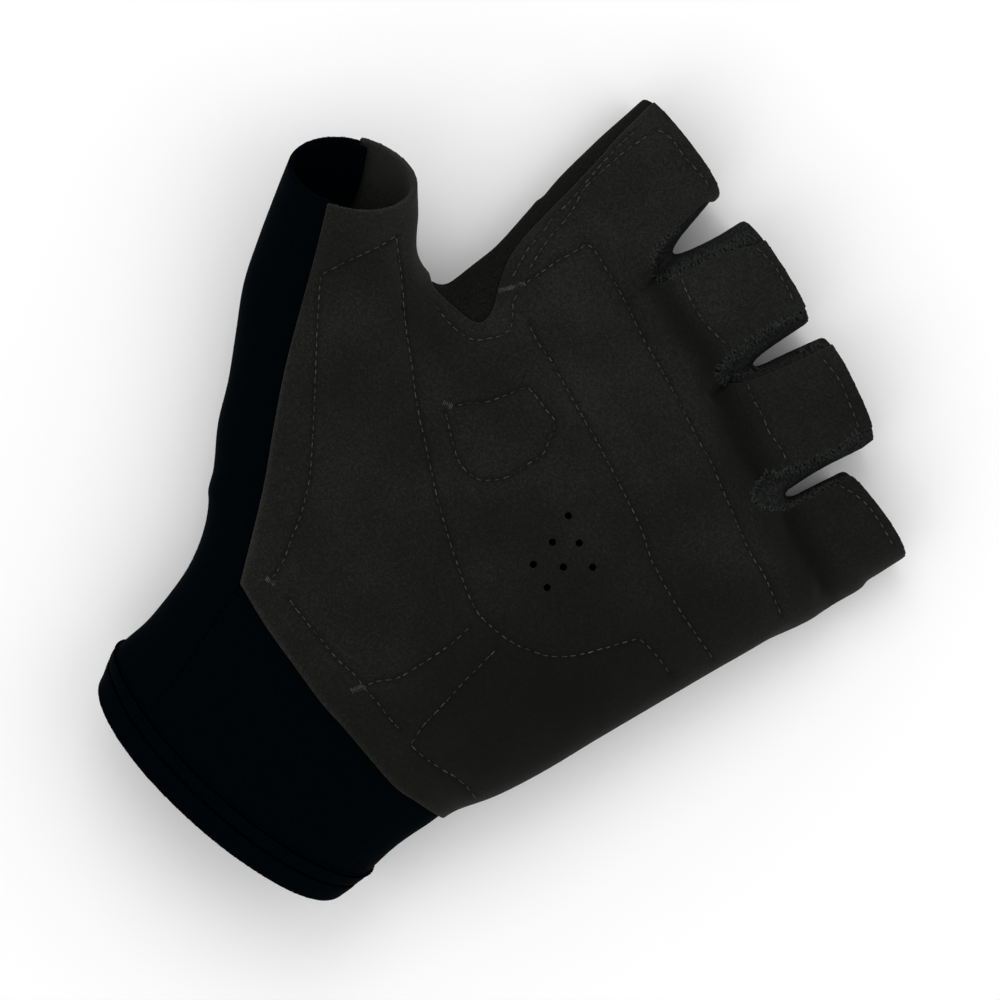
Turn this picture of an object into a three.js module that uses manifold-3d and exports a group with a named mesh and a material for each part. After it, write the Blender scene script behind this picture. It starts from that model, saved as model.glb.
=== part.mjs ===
import * as THREE from 'three';
import { mergeVertices } from 'three/addons/utils/BufferGeometryUtils.js';
import Module from 'manifold-3d';

const wasm = await Module();
wasm.setup();

// Millimetres. x runs to the little finger, y to the fingertips and z out of the palm.
const fabricWall = 1.2;
const suedeExtra = 0.6;
const hemExtra = 0.5;
const seamGap = 0.3;
const mouthRun = 4;
const ventDiameter = 1.8;
const channelWidth = 1.1;
const channelDepth = 0.5;
const channelRise = 1;
const hemWidth = 8.6;
const hemLean = -26;
const weldDistance = 0.005;
const fingerSeamHeight = 9;
const bodyFacets = 36;
const fingerFacets = 20;
const thumbFacets = 22;

// Each row is one cross-section: its thumb-side and little-side edge points in plan,
// the height of its centre, its half height, its forward lean in degrees and its squareness.
const columns = ['leftX', 'leftY', 'rightX', 'rightY', 'mid', 'half', 'lean', 'square'];
const bodyRows = [
  [-21.8, -90.6, 44.7, -76.8, 16.6, 17.6, -26, 2.0],
  [-25.1, -82.4, 44.7, -71.0, 16.8, 17.8, -24, 2.0],
  [-25.9, -73.0, 44.1, -62.2, 16.8, 17.8, -17, 2.0],
  [-28.5, -62.4, 44.6, -53.5, 16.6, 17.6, -9, 2.05],
  [-31.1, -56.2, 45.2, -47.3, 16.4, 17.4, -4, 2.1],
  [-34.6, -51.1, 47.9, -38.6, 16.2, 17.2, 0, 2.15],
  [-40.7, -45.1, 50.4, -27.6, 15.8, 16.8, 0, 2.2],
  [-46.4, -35.0, 52.0, -14.5, 15.2, 16.2, 0, 2.25],
  [-48.0, -22.6, 53.7, -1.1, 14.5, 15.5, 0, 2.3],
  [-46.8, -6.8, 55.4, 12.7, 13.7, 14.7, 0, 2.35],
  [-44.6, 8.1, 57.2, 25.5, 12.8, 13.8, 0, 2.4],
  [-43.0, 18.5, 58.8, 36.8, 11.8, 12.8, 0, 2.45],
  [-43.2, 29.0, 59.4, 40.0, 10.6, 11.6, 0, 2.5],
  [-44.0, 38.5, 59.5, 44.6, 9.2, 10.2, 0, 2.6],
  [-42.0, 44.5, 58.0, 48.0, 7.2, 8.0, 0, 2.6],
];
const fingerRows = {
  index: [
    [-34.0, 20.0, -17.0, 22.0, 9.5, 5.0, 0, 2.3],
    [-44.0, 44.8, -15.0, 48.0, 8.8, 9.6, 0, 2.3],
    [-46.6, 60.5, -19.0, 60.8, 8.9, 9.5, 5, 2.3],
    [-47.7, 75.0, -22.9, 75.0, 8.9, 9.4, 12, 2.3],
  ],
  middle: [
    [-14.0, 26.0, 8.0, 26.0, 9.5, 5.5, 0, 2.3],
    [-17.1, 50.7, 11.1, 50.0, 8.9, 9.8, 0, 2.3],
    [-18.1, 61.1, 10.1, 60.0, 9.0, 9.7, 5, 2.3],
    [-15.0, 75.5, 10.8, 73.0, 9.0, 9.6, 12, 2.3],
  ],
  ring: [
    [9.0, 25.0, 30.0, 22.0, 9.5, 5.5, 0, 2.3],
    [8.8, 46.4, 35.6, 42.8, 8.8, 9.6, 0, 2.3],
    [11.1, 59.9, 36.3, 55.6, 8.8, 9.4, 5, 2.3],
    [14.5, 73.6, 38.5, 68.4, 8.8, 9.3, 12, 2.3],
  ],
  little: [
    [35.5, 17.0, 50.5, 14.0, 9.0, 4.5, 0, 2.3],
    [34.8, 36.7, 58.2, 32.7, 8.2, 9.0, 0, 2.3],
    [36.7, 47.3, 59.3, 44.6, 8.1, 8.8, 5, 2.3],
    [39.4, 59.6, 60.8, 59.2, 8.0, 8.4, 12, 2.3],
  ],
};
const thumbRows = [
  [-36.0, -40.5, -14.0, -27.0, 15.0, 8.5, 0, 2.1],
  [-47.3, -37.2, -16.5, -16.0, 15.4, 12.6, -4, 2.1],
  [-54.5, -29.6, -22.0, -4.6, 15.9, 13.8, -9, 2.1],
  [-61.8, -21.6, -30.6, 5.2, 16.8, 14.2, -15, 2.05],
  [-68.1, -14.4, -41.1, 12.2, 18.8, 13.5, -21, 2.0],
  [-73.6, -6.2, -50.8, 16.2, 21.8, 12.6, -28, 2.0],
  [-79.0, 1.9, -58.4, 22.5, 25.8, 12.0, -34, 2.0],
  [-83.7, 9.9, -63.3, 26.2, 30.2, 11.6, -40, 2.0],
];

// Seam runs in plan, each row an x and a y.
const thumbEdgeTop = [[-83.7, 25.9], [-70.9, 8.8], [-64.5, 0], [-57.9, -8.6], [-49.6, -18.5],
  [-41.5, -27.5], [-31.8, -38], [-19.6, -53.4]];
const thumbEdgeLow = [[-76.9, 34.5], [-64.7, 16.7], [-59.3, 6.6], [-54.7, -4.5], [-48.6, -17.2],
  [-41.2, -27.2], [-31.8, -38], [-19.6, -53.4]];
const cuffSeam = [[-16.4, -63.9], [-13.7, -71.4], [-11.7, -78.8], [-10.5, -85.1], [-6.9, -104]];
const wristEdge = [[-9.3, -54.6], [0.5, -55], [17.7, -54.8], [33.7, -54.1], [42.8, -51.3], [70, -42]];
const gussetOutline = [[-48.6, 18.3], [-43.6, 16.5], [-38, 17.2], [-33.1, 18.4], [-31.5, 20.4],
  [-32.3, 23.4], [-35, 27.1], [-36.8, 29.6], [-39, 33.7], [-40.4, 39.1], [-41.2, 44.5], [-42.1, 51.3],
  [-43.3, 59.4], [-44.6, 66], [-45.2, 71], [-45.8, 76], [-46, 84], [-54, 84], [-54, 30], [-49.1, 22.4]];
const middleOutline = [[-14.2, 56.2], [-11, 55.2], [-4.7, 54.3], [5.3, 54.5], [9.2, 55.4], [17.6, 82.2],
  [-11.7, 89.1], [-18, 79.3], [-18.5, 67.7], [-17.1, 59.2]];
const ringOutline = [[11.6, 53.8], [16, 52.5], [22.6, 50.8], [30.9, 48.4], [36.3, 48.9], [42, 71.1],
  [37.1, 81.6], [14.5, 79.3], [11.1, 59.9]];
const webOutlines = {
  index_middle: {
    face: [[-8.4, 79.6], [-9.1, 75], [-10.5, 72.2], [-12.4, 66.7], [-13.5, 61.2], [-14.9, 57],
      [-14.4, 55.5], [-15.5, 54.2], [-18.4, 54.6], [-20.2, 57.1], [-21.3, 61.4], [-22.5, 66.6],
      [-23, 72.5], [-17.8, 79.6]],
    side: [[-20.3, 55.3], [-28.6, 58.1], [-35, 78], [-33.5, 90.1], [-3.7, 90.8], [-2.3, 73.8],
      [-7.2, 59], [-13.9, 54.8]],
  },
  middle_ring: {
    face: [[7.7, 83.2], [7.5, 75.1], [7.7, 70.5], [6.2, 66.3], [5.9, 62.8], [5.7, 58.2],
      [5.5, 54.8], [6.4, 52.3], [8.5, 51.8], [10.5, 53.1], [11.9, 54.8], [13.4, 58.7], [15.4, 65.8],
      [17.1, 74], [17.6, 79.9]],
    side: [[10.6, 55.2], [5.2, 57.2], [1.4, 76], [6.5, 89.3], [31.5, 84.7], [27, 71.4],
      [23.9, 58.6], [16, 54.6]],
  },
  ring_little: {
    face: [[36.9, 75.1], [35.3, 68.1], [35, 64.6], [34.7, 60.8], [33.5, 57.2], [32.7, 53.8],
      [31.8, 49.2], [29.7, 47.9], [31.4, 42.6], [33.6, 41.7], [36.2, 41.8], [37.3, 44.4],
      [38.6, 46.3], [39.9, 50.7], [40.6, 54.6], [41.4, 59.1], [42.3, 66.7]],
    side: [[36.2, 42.3], [30, 45.9], [28.2, 53.9], [28, 72.5], [38.4, 83.3], [56.9, 72.8],
      [50.6, 59.6], [48.5, 46.1], [40.5, 41.6]],
  },
};
const ventCentres = [[11.4, 9.2], [13.7, 3.2], [17.3, 7.5], [14.9, -2.8], [19.2, 1.8], [23, 6.6],
  [20.5, -3.5]];
const channelRuns = [
  [[-56.7, 16.8], [-48.7, 12], [-33.7, 2.9], [-17.7, -5.6], [3.2, -14.7], [12.3, -17.6], [16.4, -18.2],
    [21.3, -17.4], [28.7, -14.4], [33.6, -10.2], [36.4, -5.5], [40.7, 5], [50.5, 5.6]],
  [[-60.1, -0.5], [-47.3, -11.8], [-38.3, -19.4], [-28.6, -28], [-17.7, -43.8]],
  [[-25.2, 27.4], [-16.9, 26.5], [4.8, 23.2], [24.7, 19], [33.4, 16.5], [53.6, 14.7]],
  [[-32, 41.3], [-31.2, 47.3], [-22.6, 47.2], [8.5, 41.9], [35.9, 35.7], [55.1, 31.6]],
  [[-10.9, -47.4], [-0.8, -47.4], [24.9, -45.9]],
  [[12.8, -47.2], [16.1, -39.8], [17.3, -29], [17, -21.3]],
  [[24, -19.8], [25.2, -28.8], [28.7, -46.1], [36.1, -44.5], [46.5, -42.5]],
  [[-22.7, 3.6], [-19.9, 7.6], [-15.4, 18.5], [-11.8, 19.3], [-6, 19.3], [-3.4, 15.4], [-2.2, 10.2],
    [-2.9, 3.8], [-6, -0.9], [-10.4, -2], [-17.1, 0.3], [-22.4, 3.3], [-21.4, 5.6]],
];
// Height of the seam round the back panel: each row a y and a z.
const backSeam = [[-140, 10], [-40, 9], [30, 8], [52, 5.5], [140, 5.5]];

const suede = { color: 0x1e1e1c, roughness: 0.95, metalness: 0 };
const lycra = { color: 0x070b10, roughness: 0.62, metalness: 0 };
const ribbed = { color: 0x181a19, roughness: 0.85, metalness: 0 };
const meshCloth = { color: 0x202223, roughness: 0.9, metalness: 0 };

function toRow(values) {
  return Object.fromEntries(columns.map((name, i) => [name, values[i]]));
}

function power(value, square) {
  return Math.sign(value) * Math.pow(Math.abs(value), 2 / square);
}

function sectionPoints(row, facets, inset, floor) {
  const dx = row.rightX - row.leftX;
  const dy = row.rightY - row.leftY;
  const width = Math.hypot(dx, dy);
  const across = [dx / width, dy / width];
  const ahead = [-across[1], across[0]];
  const halfWidth = width / 2 - inset;
  const halfHeight = row.half - inset;
  const lean = THREE.MathUtils.degToRad(row.lean);
  const points = [];
  for (let i = 0; i < facets; i += 1) {
    const angle = (i / facets) * Math.PI * 2;
    const side = power(Math.cos(angle), row.square) * halfWidth;
    const rise = power(Math.sin(angle), row.square) * halfHeight;
    const forward = rise * Math.sin(lean);
    points.push([
      (row.leftX + row.rightX) / 2 + across[0] * side + ahead[0] * forward,
      (row.leftY + row.rightY) / 2 + across[1] * side + ahead[1] * forward,
      Math.max(floor, row.mid + rise * Math.cos(lean)),
    ]);
  }
  return points;
}

function solidFrom(positions, indices) {
  const geometry = new THREE.BufferGeometry();
  geometry.setAttribute('position', new THREE.Float32BufferAttribute(positions, 3));
  geometry.setIndex(indices);
  return toSolid(geometry);
}

function toSolid(source) {
  const bare = source.clone();
  bare.deleteAttribute('normal');
  bare.deleteAttribute('uv');
  const merged = mergeVertices(bare, 1e-4);
  const vertProperties = new Float32Array(merged.attributes.position.array);
  const triVerts = new Uint32Array(merged.index.array);
  return new wasm.Manifold(new wasm.Mesh({ numProp: 3, vertProperties, triVerts }));
}

function loft(rings) {
  const facets = rings[0].length;
  const positions = rings.flat(2);
  const indices = [];
  for (let r = 0; r + 1 < rings.length; r += 1) {
    for (let i = 0; i < facets; i += 1) {
      const a = r * facets + i;
      const b = r * facets + ((i + 1) % facets);
      const c = a + facets;
      const d = b + facets;
      indices.push(a, b, d, a, d, c);
    }
  }
  [rings[0], rings[rings.length - 1]].forEach((ring, end) => {
    const centre = [0, 1, 2].map((k) => ring.reduce((sum, p) => sum + p[k], 0) / facets);
    const hub = positions.length / 3;
    positions.push(...centre);
    const first = end === 0 ? 0 : (rings.length - 1) * facets;
    for (let i = 0; i < facets; i += 1) {
      const a = first + i;
      const b = first + ((i + 1) % facets);
      if (end === 0) indices.push(hub, b, a);
      else indices.push(hub, a, b);
    }
  });
  const solid = solidFrom(positions, indices);
  if (solid.volume() > 0) return solid;
  const turned = [];
  for (let i = 0; i < indices.length; i += 3) turned.push(indices[i], indices[i + 2], indices[i + 1]);
  return solidFrom(positions, turned);
}

// A row beyond the last one, so that a hollow runs out through its mouth.
function beyond(last, before, run) {
  const step = { ...last };
  const dx = (last.leftX + last.rightX - before.leftX - before.rightX) / 2;
  const dy = (last.leftY + last.rightY - before.leftY - before.rightY) / 2;
  const rise = last.mid - before.mid;
  const length = Math.hypot(dx, dy, rise);
  step.leftX += (dx / length) * run;
  step.rightX += (dx / length) * run;
  step.leftY += (dy / length) * run;
  step.rightY += (dy / length) * run;
  step.mid += (rise / length) * run;
  return step;
}

function tube(rows, facets, inset, floor, openStart, openEnd) {
  const list = rows.map(toRow);
  if (openStart) list.unshift(beyond(list[0], list[1], mouthRun));
  if (openEnd) list.push(beyond(list[list.length - 1], list[list.length - 2], mouthRun));
  else if (inset > 0) list.splice(-1, 1, beyond(list[list.length - 1], list[list.length - 2], -inset));
  return loft(list.map((row) => sectionPoints(row, facets, inset, floor)));
}

function wholeForm(inset, floor, hollow) {
  let form = tube(bodyRows, bodyFacets, inset, floor, hollow, false);
  for (const rows of Object.values(fingerRows)) {
    form = form.add(tube(rows, fingerFacets, inset, floor, false, hollow));
  }
  return form.add(tube(thumbRows, thumbFacets, inset, floor, false, hollow));
}

function prism(outline, low, high) {
  const shape = new THREE.Shape(outline.map(([x, y]) => new THREE.Vector2(x, y)));
  const geometry = new THREE.ExtrudeGeometry(shape, { depth: high - low, bevelEnabled: false });
  geometry.translate(0, 0, low);
  return toSolid(geometry);
}

// The outline moved outward by a distance, corners mitred.
function grown(outline, distance) {
  const turn = Math.sign(THREE.ShapeUtils.area(outline.map(([x, y]) => new THREE.Vector2(x, y))));
  return outline.map((point, i) => {
    const before = outline[(i + outline.length - 1) % outline.length];
    const after = outline[(i + 1) % outline.length];
    const a = new THREE.Vector2(point[0] - before[0], point[1] - before[1]).normalize();
    const b = new THREE.Vector2(after[0] - point[0], after[1] - point[1]).normalize();
    const na = new THREE.Vector2(a.y, -a.x).multiplyScalar(turn);
    const nb = new THREE.Vector2(b.y, -b.x).multiplyScalar(turn);
    const miter = na.clone().add(nb).normalize();
    const stretch = distance / Math.max(0.5, miter.dot(na));
    return [point[0] + miter.x * stretch, point[1] + miter.y * stretch];
  });
}

// A solid between an upper and a lower outline of the same number of points.
function ruledPrism(upper, lower, high, low) {
  const count = upper.length;
  const positions = [];
  upper.forEach(([x, y]) => positions.push(x, y, high));
  lower.forEach(([x, y]) => positions.push(x, y, low));
  const contour = upper.map(([x, y]) => new THREE.Vector2(x, y));
  const indices = [];
  THREE.ShapeUtils.triangulateShape(contour, []).forEach(([a, b, c]) => {
    indices.push(a, b, c, a + count, c + count, b + count);
  });
  for (let i = 0; i < count; i += 1) {
    const j = (i + 1) % count;
    indices.push(i, i + count, j + count, i, j + count, j);
  }
  const solid = solidFrom(positions, indices);
  return solid;
}

function besideSeam(shift) {
  const closing = [[-6.9 - 60, -140], [-130, -60], [-130, 60]];
  const upper = [...thumbEdgeTop, ...cuffSeam, ...closing];
  const lower = [...thumbEdgeLow, ...cuffSeam, ...closing];
  const order = (line) => grown(line, shift).reverse();
  return ruledPrism(order(upper), order(lower), 48, -1);
}

// Everything under the back seam, raised or lowered by a shift.
function underSeam(shift, left, right) {
  const outline = [...backSeam.map(([y, z]) => [y, z + shift]), [140, -2], [-140, -2]];
  const shape = new THREE.Shape(outline.map(([y, z]) => new THREE.Vector2(y, z)));
  const geometry = new THREE.ExtrudeGeometry(shape, { depth: right - left, bevelEnabled: false });
  geometry.applyMatrix4(new THREE.Matrix4().makeBasis(
    new THREE.Vector3(0, 1, 0), new THREE.Vector3(0, 0, 1), new THREE.Vector3(1, 0, 0)));
  geometry.translate(left, 0, 0);
  return toSolid(geometry);
}

// The wrist end beyond the leaning plane where the hem band starts.
function beyondHem(shift) {
  const row = toRow(bodyRows[0]);
  const direction = Math.atan2(row.rightY - row.leftY, row.rightX - row.leftX);
  const size = 160;
  const geometry = new THREE.BoxGeometry(size, size, size);
  geometry.translate(0, hemWidth + shift - size / 2, 0);
  geometry.rotateX(-THREE.MathUtils.degToRad(hemLean));
  geometry.rotateZ(direction);
  geometry.translate((row.leftX + row.rightX) / 2, (row.leftY + row.rightY) / 2, row.mid);
  return toSolid(geometry);
}

function triangleList(solid) {
  const mesh = solid.getMesh();
  const list = [];
  for (let t = 0; t < mesh.triVerts.length; t += 3) {
    const corners = [0, 1, 2].map((k) => {
      const v = mesh.triVerts[t + k] * mesh.numProp;
      return [mesh.vertProperties[v], mesh.vertProperties[v + 1], mesh.vertProperties[v + 2]];
    });
    list.push(corners);
  }
  return list;
}

function topHeight(triangles, x, y) {
  let best = 0;
  for (const [a, b, c] of triangles) {
    const det = (b[1] - c[1]) * (a[0] - c[0]) + (c[0] - b[0]) * (a[1] - c[1]);
    if (Math.abs(det) < 1e-9) continue;
    const u = ((b[1] - c[1]) * (x - c[0]) + (c[0] - b[0]) * (y - c[1])) / det;
    const v = ((c[1] - a[1]) * (x - c[0]) + (a[0] - c[0]) * (y - c[1])) / det;
    if (u < -1e-6 || v < -1e-6 || u + v > 1 + 1e-6) continue;
    best = Math.max(best, u * a[2] + v * b[2] + (1 - u - v) * c[2]);
  }
  return best;
}

// A stitched channel: a narrow trough pressed into the face along a run.
function channel(run, triangles) {
  const rings = run.map(([x, y], i) => {
    const before = run[Math.max(0, i - 1)];
    const after = run[Math.min(run.length - 1, i + 1)];
    const ahead = new THREE.Vector2(after[0] - before[0], after[1] - before[1]).normalize();
    const spread = (channelWidth / 2) * ((channelDepth + channelRise) / channelDepth);
    const face = topHeight(triangles, x, y);
    return [
      [x, y, face - channelDepth],
      [x + ahead.y * spread, y - ahead.x * spread, face + channelRise],
      [x - ahead.y * spread, y + ahead.x * spread, face + channelRise],
    ];
  });
  return loft(rings);
}

// Corners closer than a hundredth are joined, and the triangles that this folds flat are dropped.
function tidied(solid) {
  const mesh = solid.getMesh();
  const raw = new THREE.BufferGeometry();
  raw.setAttribute('position', new THREE.BufferAttribute(mesh.vertProperties, 3));
  raw.setIndex(new THREE.BufferAttribute(mesh.triVerts, 1));
  const merged = mergeVertices(raw, weldDistance);
  const kept = [];
  const index = merged.index.array;
  for (let t = 0; t < index.length; t += 3) {
    const [a, b, c] = [index[t], index[t + 1], index[t + 2]];
    if (a !== b && b !== c && a !== c) kept.push(a, b, c);
  }
  merged.setIndex(kept);
  return merged;
}

// The largest body of a solid, so that no sliver rides along with a panel.
function mainBody(solid) {
  return solid.decompose().sort((a, b) => b.volume() - a.volume())[0];
}

const hollow = wholeForm(fabricWall, fabricWall, true);
const thinShell = wholeForm(0, 0, false).subtract(hollow);
const thickForm = wholeForm(-suedeExtra, 0, false);
const thickShell = thickForm.subtract(hollow);
const hemForm = tube(bodyRows, bodyFacets, -hemExtra, 0, false, false);
const half = seamGap / 2;
const roof = 60;

const thumbSide = besideSeam(0);
const thumbSideWide = besideSeam(seamGap);
const backZone = underSeam(-half, -120, 120);
const backZoneWide = underSeam(half, -120, 120);
const hemZone = beyondHem(0);
const hemZoneWide = beyondHem(seamGap);

const wristOutline = [[-19.6, -53.4], ...wristEdge, [70, -110], [-6.9, -110], ...[...cuffSeam].reverse()];
const wristZone = prism(wristOutline, -1, roof);
const wristZoneWide = prism(grown(wristOutline, seamGap), -2, roof);
const gussetZone = prism(gussetOutline, -1, roof);
const gussetZoneWide = prism(grown(gussetOutline, seamGap), -2, roof);

const backPanel = thinShell
  .intersect(thumbSide.add(backZone))
  .subtract(hemZoneWide);
const wristPanel = thinShell.intersect(wristZone)
  .subtract(thumbSideWide).subtract(backZoneWide).subtract(hemZoneWide);
const cuffHem = hemForm.subtract(hollow).intersect(hemZone);

const webs = Object.entries(webOutlines).map(([name, outline]) => {
  const zone = prism(outline.face, -1, roof).add(prism(outline.side, -1, fingerSeamHeight - half));
  const wide = prism(grown(outline.face, seamGap), -2, roof)
    .add(prism(grown(outline.side, seamGap), -2, fingerSeamHeight + half));
  return { name, wide, solid: thinShell.intersect(zone).subtract(backZoneWide) };
});
const allWebs = webs.map((web) => web.wide).reduce((sum, wide) => sum.add(wide));

const gusset = thinShell.intersect(gussetZone).subtract(backZoneWide).subtract(thumbSideWide);
const middlePanel = thickShell.intersect(prism(middleOutline, -1, roof))
  .subtract(backZoneWide).subtract(allWebs);
const ringPanel = thickShell.intersect(prism(ringOutline, -1, roof))
  .subtract(backZoneWide).subtract(allWebs);
let palmPanel = thickShell
  .subtract(thumbSideWide).subtract(backZoneWide).subtract(wristZoneWide).subtract(hemZoneWide)
  .subtract(gussetZoneWide).subtract(allWebs)
  .subtract(prism(grown(middleOutline, seamGap), -2, roof))
  .subtract(prism(grown(ringOutline, seamGap), -2, roof));
const faces = triangleList(thickForm);
for (const run of channelRuns) palmPanel = palmPanel.subtract(channel(run, faces));
for (const [x, y] of ventCentres) {
  const vent = new THREE.CylinderGeometry(ventDiameter / 2, ventDiameter / 2, 40, 10);
  vent.rotateX(Math.PI / 2);
  vent.translate(x, y, 35);
  palmPanel = palmPanel.subtract(toSolid(vent));
}

const pieces = [
  ['palm_panel', palmPanel, suede],
  ['middle_finger_panel', middlePanel, suede],
  ['ring_finger_panel', ringPanel, suede],
  ['back_panel', backPanel, lycra],
  ['wrist_panel', wristPanel, lycra],
  ['cuff_hem', cuffHem, lycra],
  ['web_gusset', gusset, ribbed],
  ...webs.map((web) => [`finger_web_${web.name}`, web.solid, meshCloth]),
];

const solids = pieces.map(([name, solid, look]) => [name, mainBody(solid), look]);
const box = new THREE.Box3();
for (const [, solid] of solids) {
  const bounds = solid.boundingBox();
  box.expandByPoint(new THREE.Vector3(...bounds.min));
  box.expandByPoint(new THREE.Vector3(...bounds.max));
}
const centre = box.getCenter(new THREE.Vector3());

const group = new THREE.Group();
for (const [name, solid, look] of solids) {
  const geometry = tidied(solid);
  geometry.translate(-centre.x, -centre.y, -box.min.z);
  geometry.computeVertexNormals();
  const node = new THREE.Mesh(geometry, new THREE.MeshStandardMaterial(look));
  node.name = name;
  group.add(node);
}

export default group;
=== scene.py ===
import math
import numpy as np
import bpy
from mathutils import Matrix, Vector


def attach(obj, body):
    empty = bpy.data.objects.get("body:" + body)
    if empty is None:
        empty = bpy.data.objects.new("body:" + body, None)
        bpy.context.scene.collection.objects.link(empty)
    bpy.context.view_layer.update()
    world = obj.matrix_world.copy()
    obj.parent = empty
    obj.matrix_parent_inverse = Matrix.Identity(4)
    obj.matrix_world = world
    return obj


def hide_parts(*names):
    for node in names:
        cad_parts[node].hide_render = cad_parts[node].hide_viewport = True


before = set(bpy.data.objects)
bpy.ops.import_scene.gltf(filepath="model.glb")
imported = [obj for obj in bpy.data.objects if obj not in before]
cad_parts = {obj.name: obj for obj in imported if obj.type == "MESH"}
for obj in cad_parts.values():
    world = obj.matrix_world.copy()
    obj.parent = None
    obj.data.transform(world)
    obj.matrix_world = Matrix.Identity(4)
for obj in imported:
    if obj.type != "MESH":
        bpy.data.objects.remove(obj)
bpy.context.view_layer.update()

# Drawing millimetres: x to the little finger, y to the fingertips, z out of the palm.
# The drawing's own origin lies off the part's, so every mesh is moved by this at the end.
drawing = {
    "originX": -11.6,
    "originY": -8.54,
    "cell": 0.46,    # step of the grid that the cloths are worked out on
    "draftCell": 0.7,
    "mostTriangles": 190000,    # a cloth piece above this is thinned
    "insideThinning": 0.75,    # the share of its inner faces that may go first
    "insideDepth": 0.2,    # inner faces lie at least this deep in the hand form
    "underside": 5,    # or lower than this
    "ventClear": 2,    # and no nearer to a vent than this
    "steepest": 2.6,    # a stitch that steps up or down by more is left out
}
cell = drawing["cell"]

form = {
    "hemOut": 0.45,    # how far the hem band stands out
    "hemLean": 26.0,    # degrees that the end of the sleeve leans
    "hemWidth": 8.0,
    "floorRound": 1.2,    # rounding where the glove meets the surface
    "edgeRound": 0.15,    # rounding of every cloth edge
    "rootBlend": 1.0,    # between neighbouring fingers, then fingers and thumb to the palm
    "fingerBlend": 2.5,
    "thumbBlend": 6.2,
    "slotEase": -0.2,    # the cloth runs this far into the outline of each gap
    "slotBlend": 1.2,
    "mouthOut": 0.55,    # finger mouths lie past their last table row, the thumb's short of it
    "thumbMouthIn": 1.0,
    "fingerMouthLean": 12,    # degrees from upright
    "thumbMouthLean": -40,
    "thumbMouthEnd": -50,    # the thumb's mouth cuts only where x is below this
    "mouthLetGo": 40,    # how steeply a mouth lets go beside its own finger
    "palmEndX": 8.0,    # the palm's own form ends on this line, among the finger roots
    "palmEndY": 46.25,
    "palmEndTilt": 0.035,
    "foldStart": 7,    # folds begin at this height and are full one run above it
    "foldRun": 7,
    "softPasses": 3,
}
# thumb-side x and y, little-side x and y, centre height, half height, squareness
bodyRows = [
    [-19.0, -102.0, 45.1, -87.5, 16.4, 17.4, 2.0],
    [-21.4, -89.6, 44.6, -78.4, 16.6, 17.6, 2.0],
    [-24.9, -82.4, 44.3, -71.0, 16.8, 17.8, 2.0],
    [-25.7, -73.0, 43.8, -62.2, 16.8, 17.8, 2.0],
    [-28.4, -62.4, 44.2, -53.5, 16.6, 17.6, 2.05],
    [-31.1, -56.2, 44.6, -47.3, 16.4, 17.4, 2.1],
    [-34.6, -51.1, 47.4, -38.6, 16.2, 17.2, 2.15],
    [-40.3, -45.1, 49.5, -27.6, 15.8, 16.8, 2.2],
    [-45.8, -35.0, 51.1, -14.5, 15.2, 16.2, 2.25],
    [-46.9, -22.6, 52.8, -1.1, 14.5, 15.5, 2.3],
    [-45.6, -6.8, 54.6, 12.7, 13.7, 14.7, 2.35],
    [-43.8, 8.1, 56.3, 25.5, 12.8, 13.8, 2.4],
    [-42.4, 18.5, 56.9, 36.8, 11.8, 12.8, 2.45],
    [-42.2, 29.0, 57.1, 40.0, 10.6, 11.6, 2.5],
    [-42.0, 38.5, 57.2, 44.6, 9.2, 10.2, 2.6],
    [-40.0, 44.5, 56.5, 48.0, 7.2, 8.0, 2.6],
]
fingerRows = {
    "index": [
        [-34.0, 20.0, -17.0, 22.0, 9.5, 5.0, 2.3],
        [-44.0, 44.8, -15.0, 48.0, 8.8, 9.6, 2.3],
        [-46.6, 60.5, -19.0, 60.8, 8.9, 9.5, 2.3],
        [-47.7, 75.0, -22.9, 75.0, 8.9, 9.4, 2.3],
    ],
    "middle": [
        [-14.0, 26.0, 8.0, 26.0, 9.5, 5.5, 2.3],
        [-17.1, 50.7, 11.1, 50.0, 8.9, 9.8, 2.3],
        [-18.1, 61.1, 10.1, 60.0, 9.0, 9.7, 2.3],
        [-15.0, 75.5, 10.8, 73.0, 9.0, 9.6, 2.3],
    ],
    "ring": [
        [9.0, 25.0, 30.0, 22.0, 9.5, 5.5, 2.3],
        [8.8, 46.4, 35.6, 42.8, 8.8, 9.6, 2.3],
        [11.1, 59.9, 36.3, 55.6, 8.8, 9.4, 2.3],
        [14.5, 73.6, 38.5, 68.4, 8.8, 9.3, 2.3],
    ],
    "little": [
        [35.5, 17.0, 49.5, 14.0, 9.0, 4.5, 2.3],
        [34.8, 36.7, 57.5, 32.7, 8.2, 9.0, 2.3],
        [36.7, 47.3, 59.3, 44.6, 8.1, 8.8, 2.3],
        [39.4, 59.6, 60.8, 59.2, 8.0, 8.4, 2.3],
    ],
}
# the same columns, then the backward lean of the section in degrees
thumbRows = [
    [-36.0, -40.5, -14.0, -27.0, 15.0, 8.5, 2.1, 0.0],
    [-46.1, -35.7, -16.5, -16.0, 15.4, 12.6, 2.1, 4.0],
    [-53.9, -28.8, -22.0, -4.6, 15.9, 13.8, 2.1, 9.0],
    [-61.8, -21.6, -30.6, 5.2, 16.8, 14.2, 2.05, 15.0],
    [-68.7, -14.6, -41.1, 12.2, 18.8, 13.5, 2.0, 21.0],
    [-74.1, -6.5, -50.8, 16.2, 21.8, 12.6, 2.0, 28.0],
    [-79.0, 1.9, -58.4, 22.5, 25.8, 12.0, 2.0, 34.0],
    [-83.7, 9.9, -63.3, 26.2, 30.2, 11.6, 2.0, 40.0],
]
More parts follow.
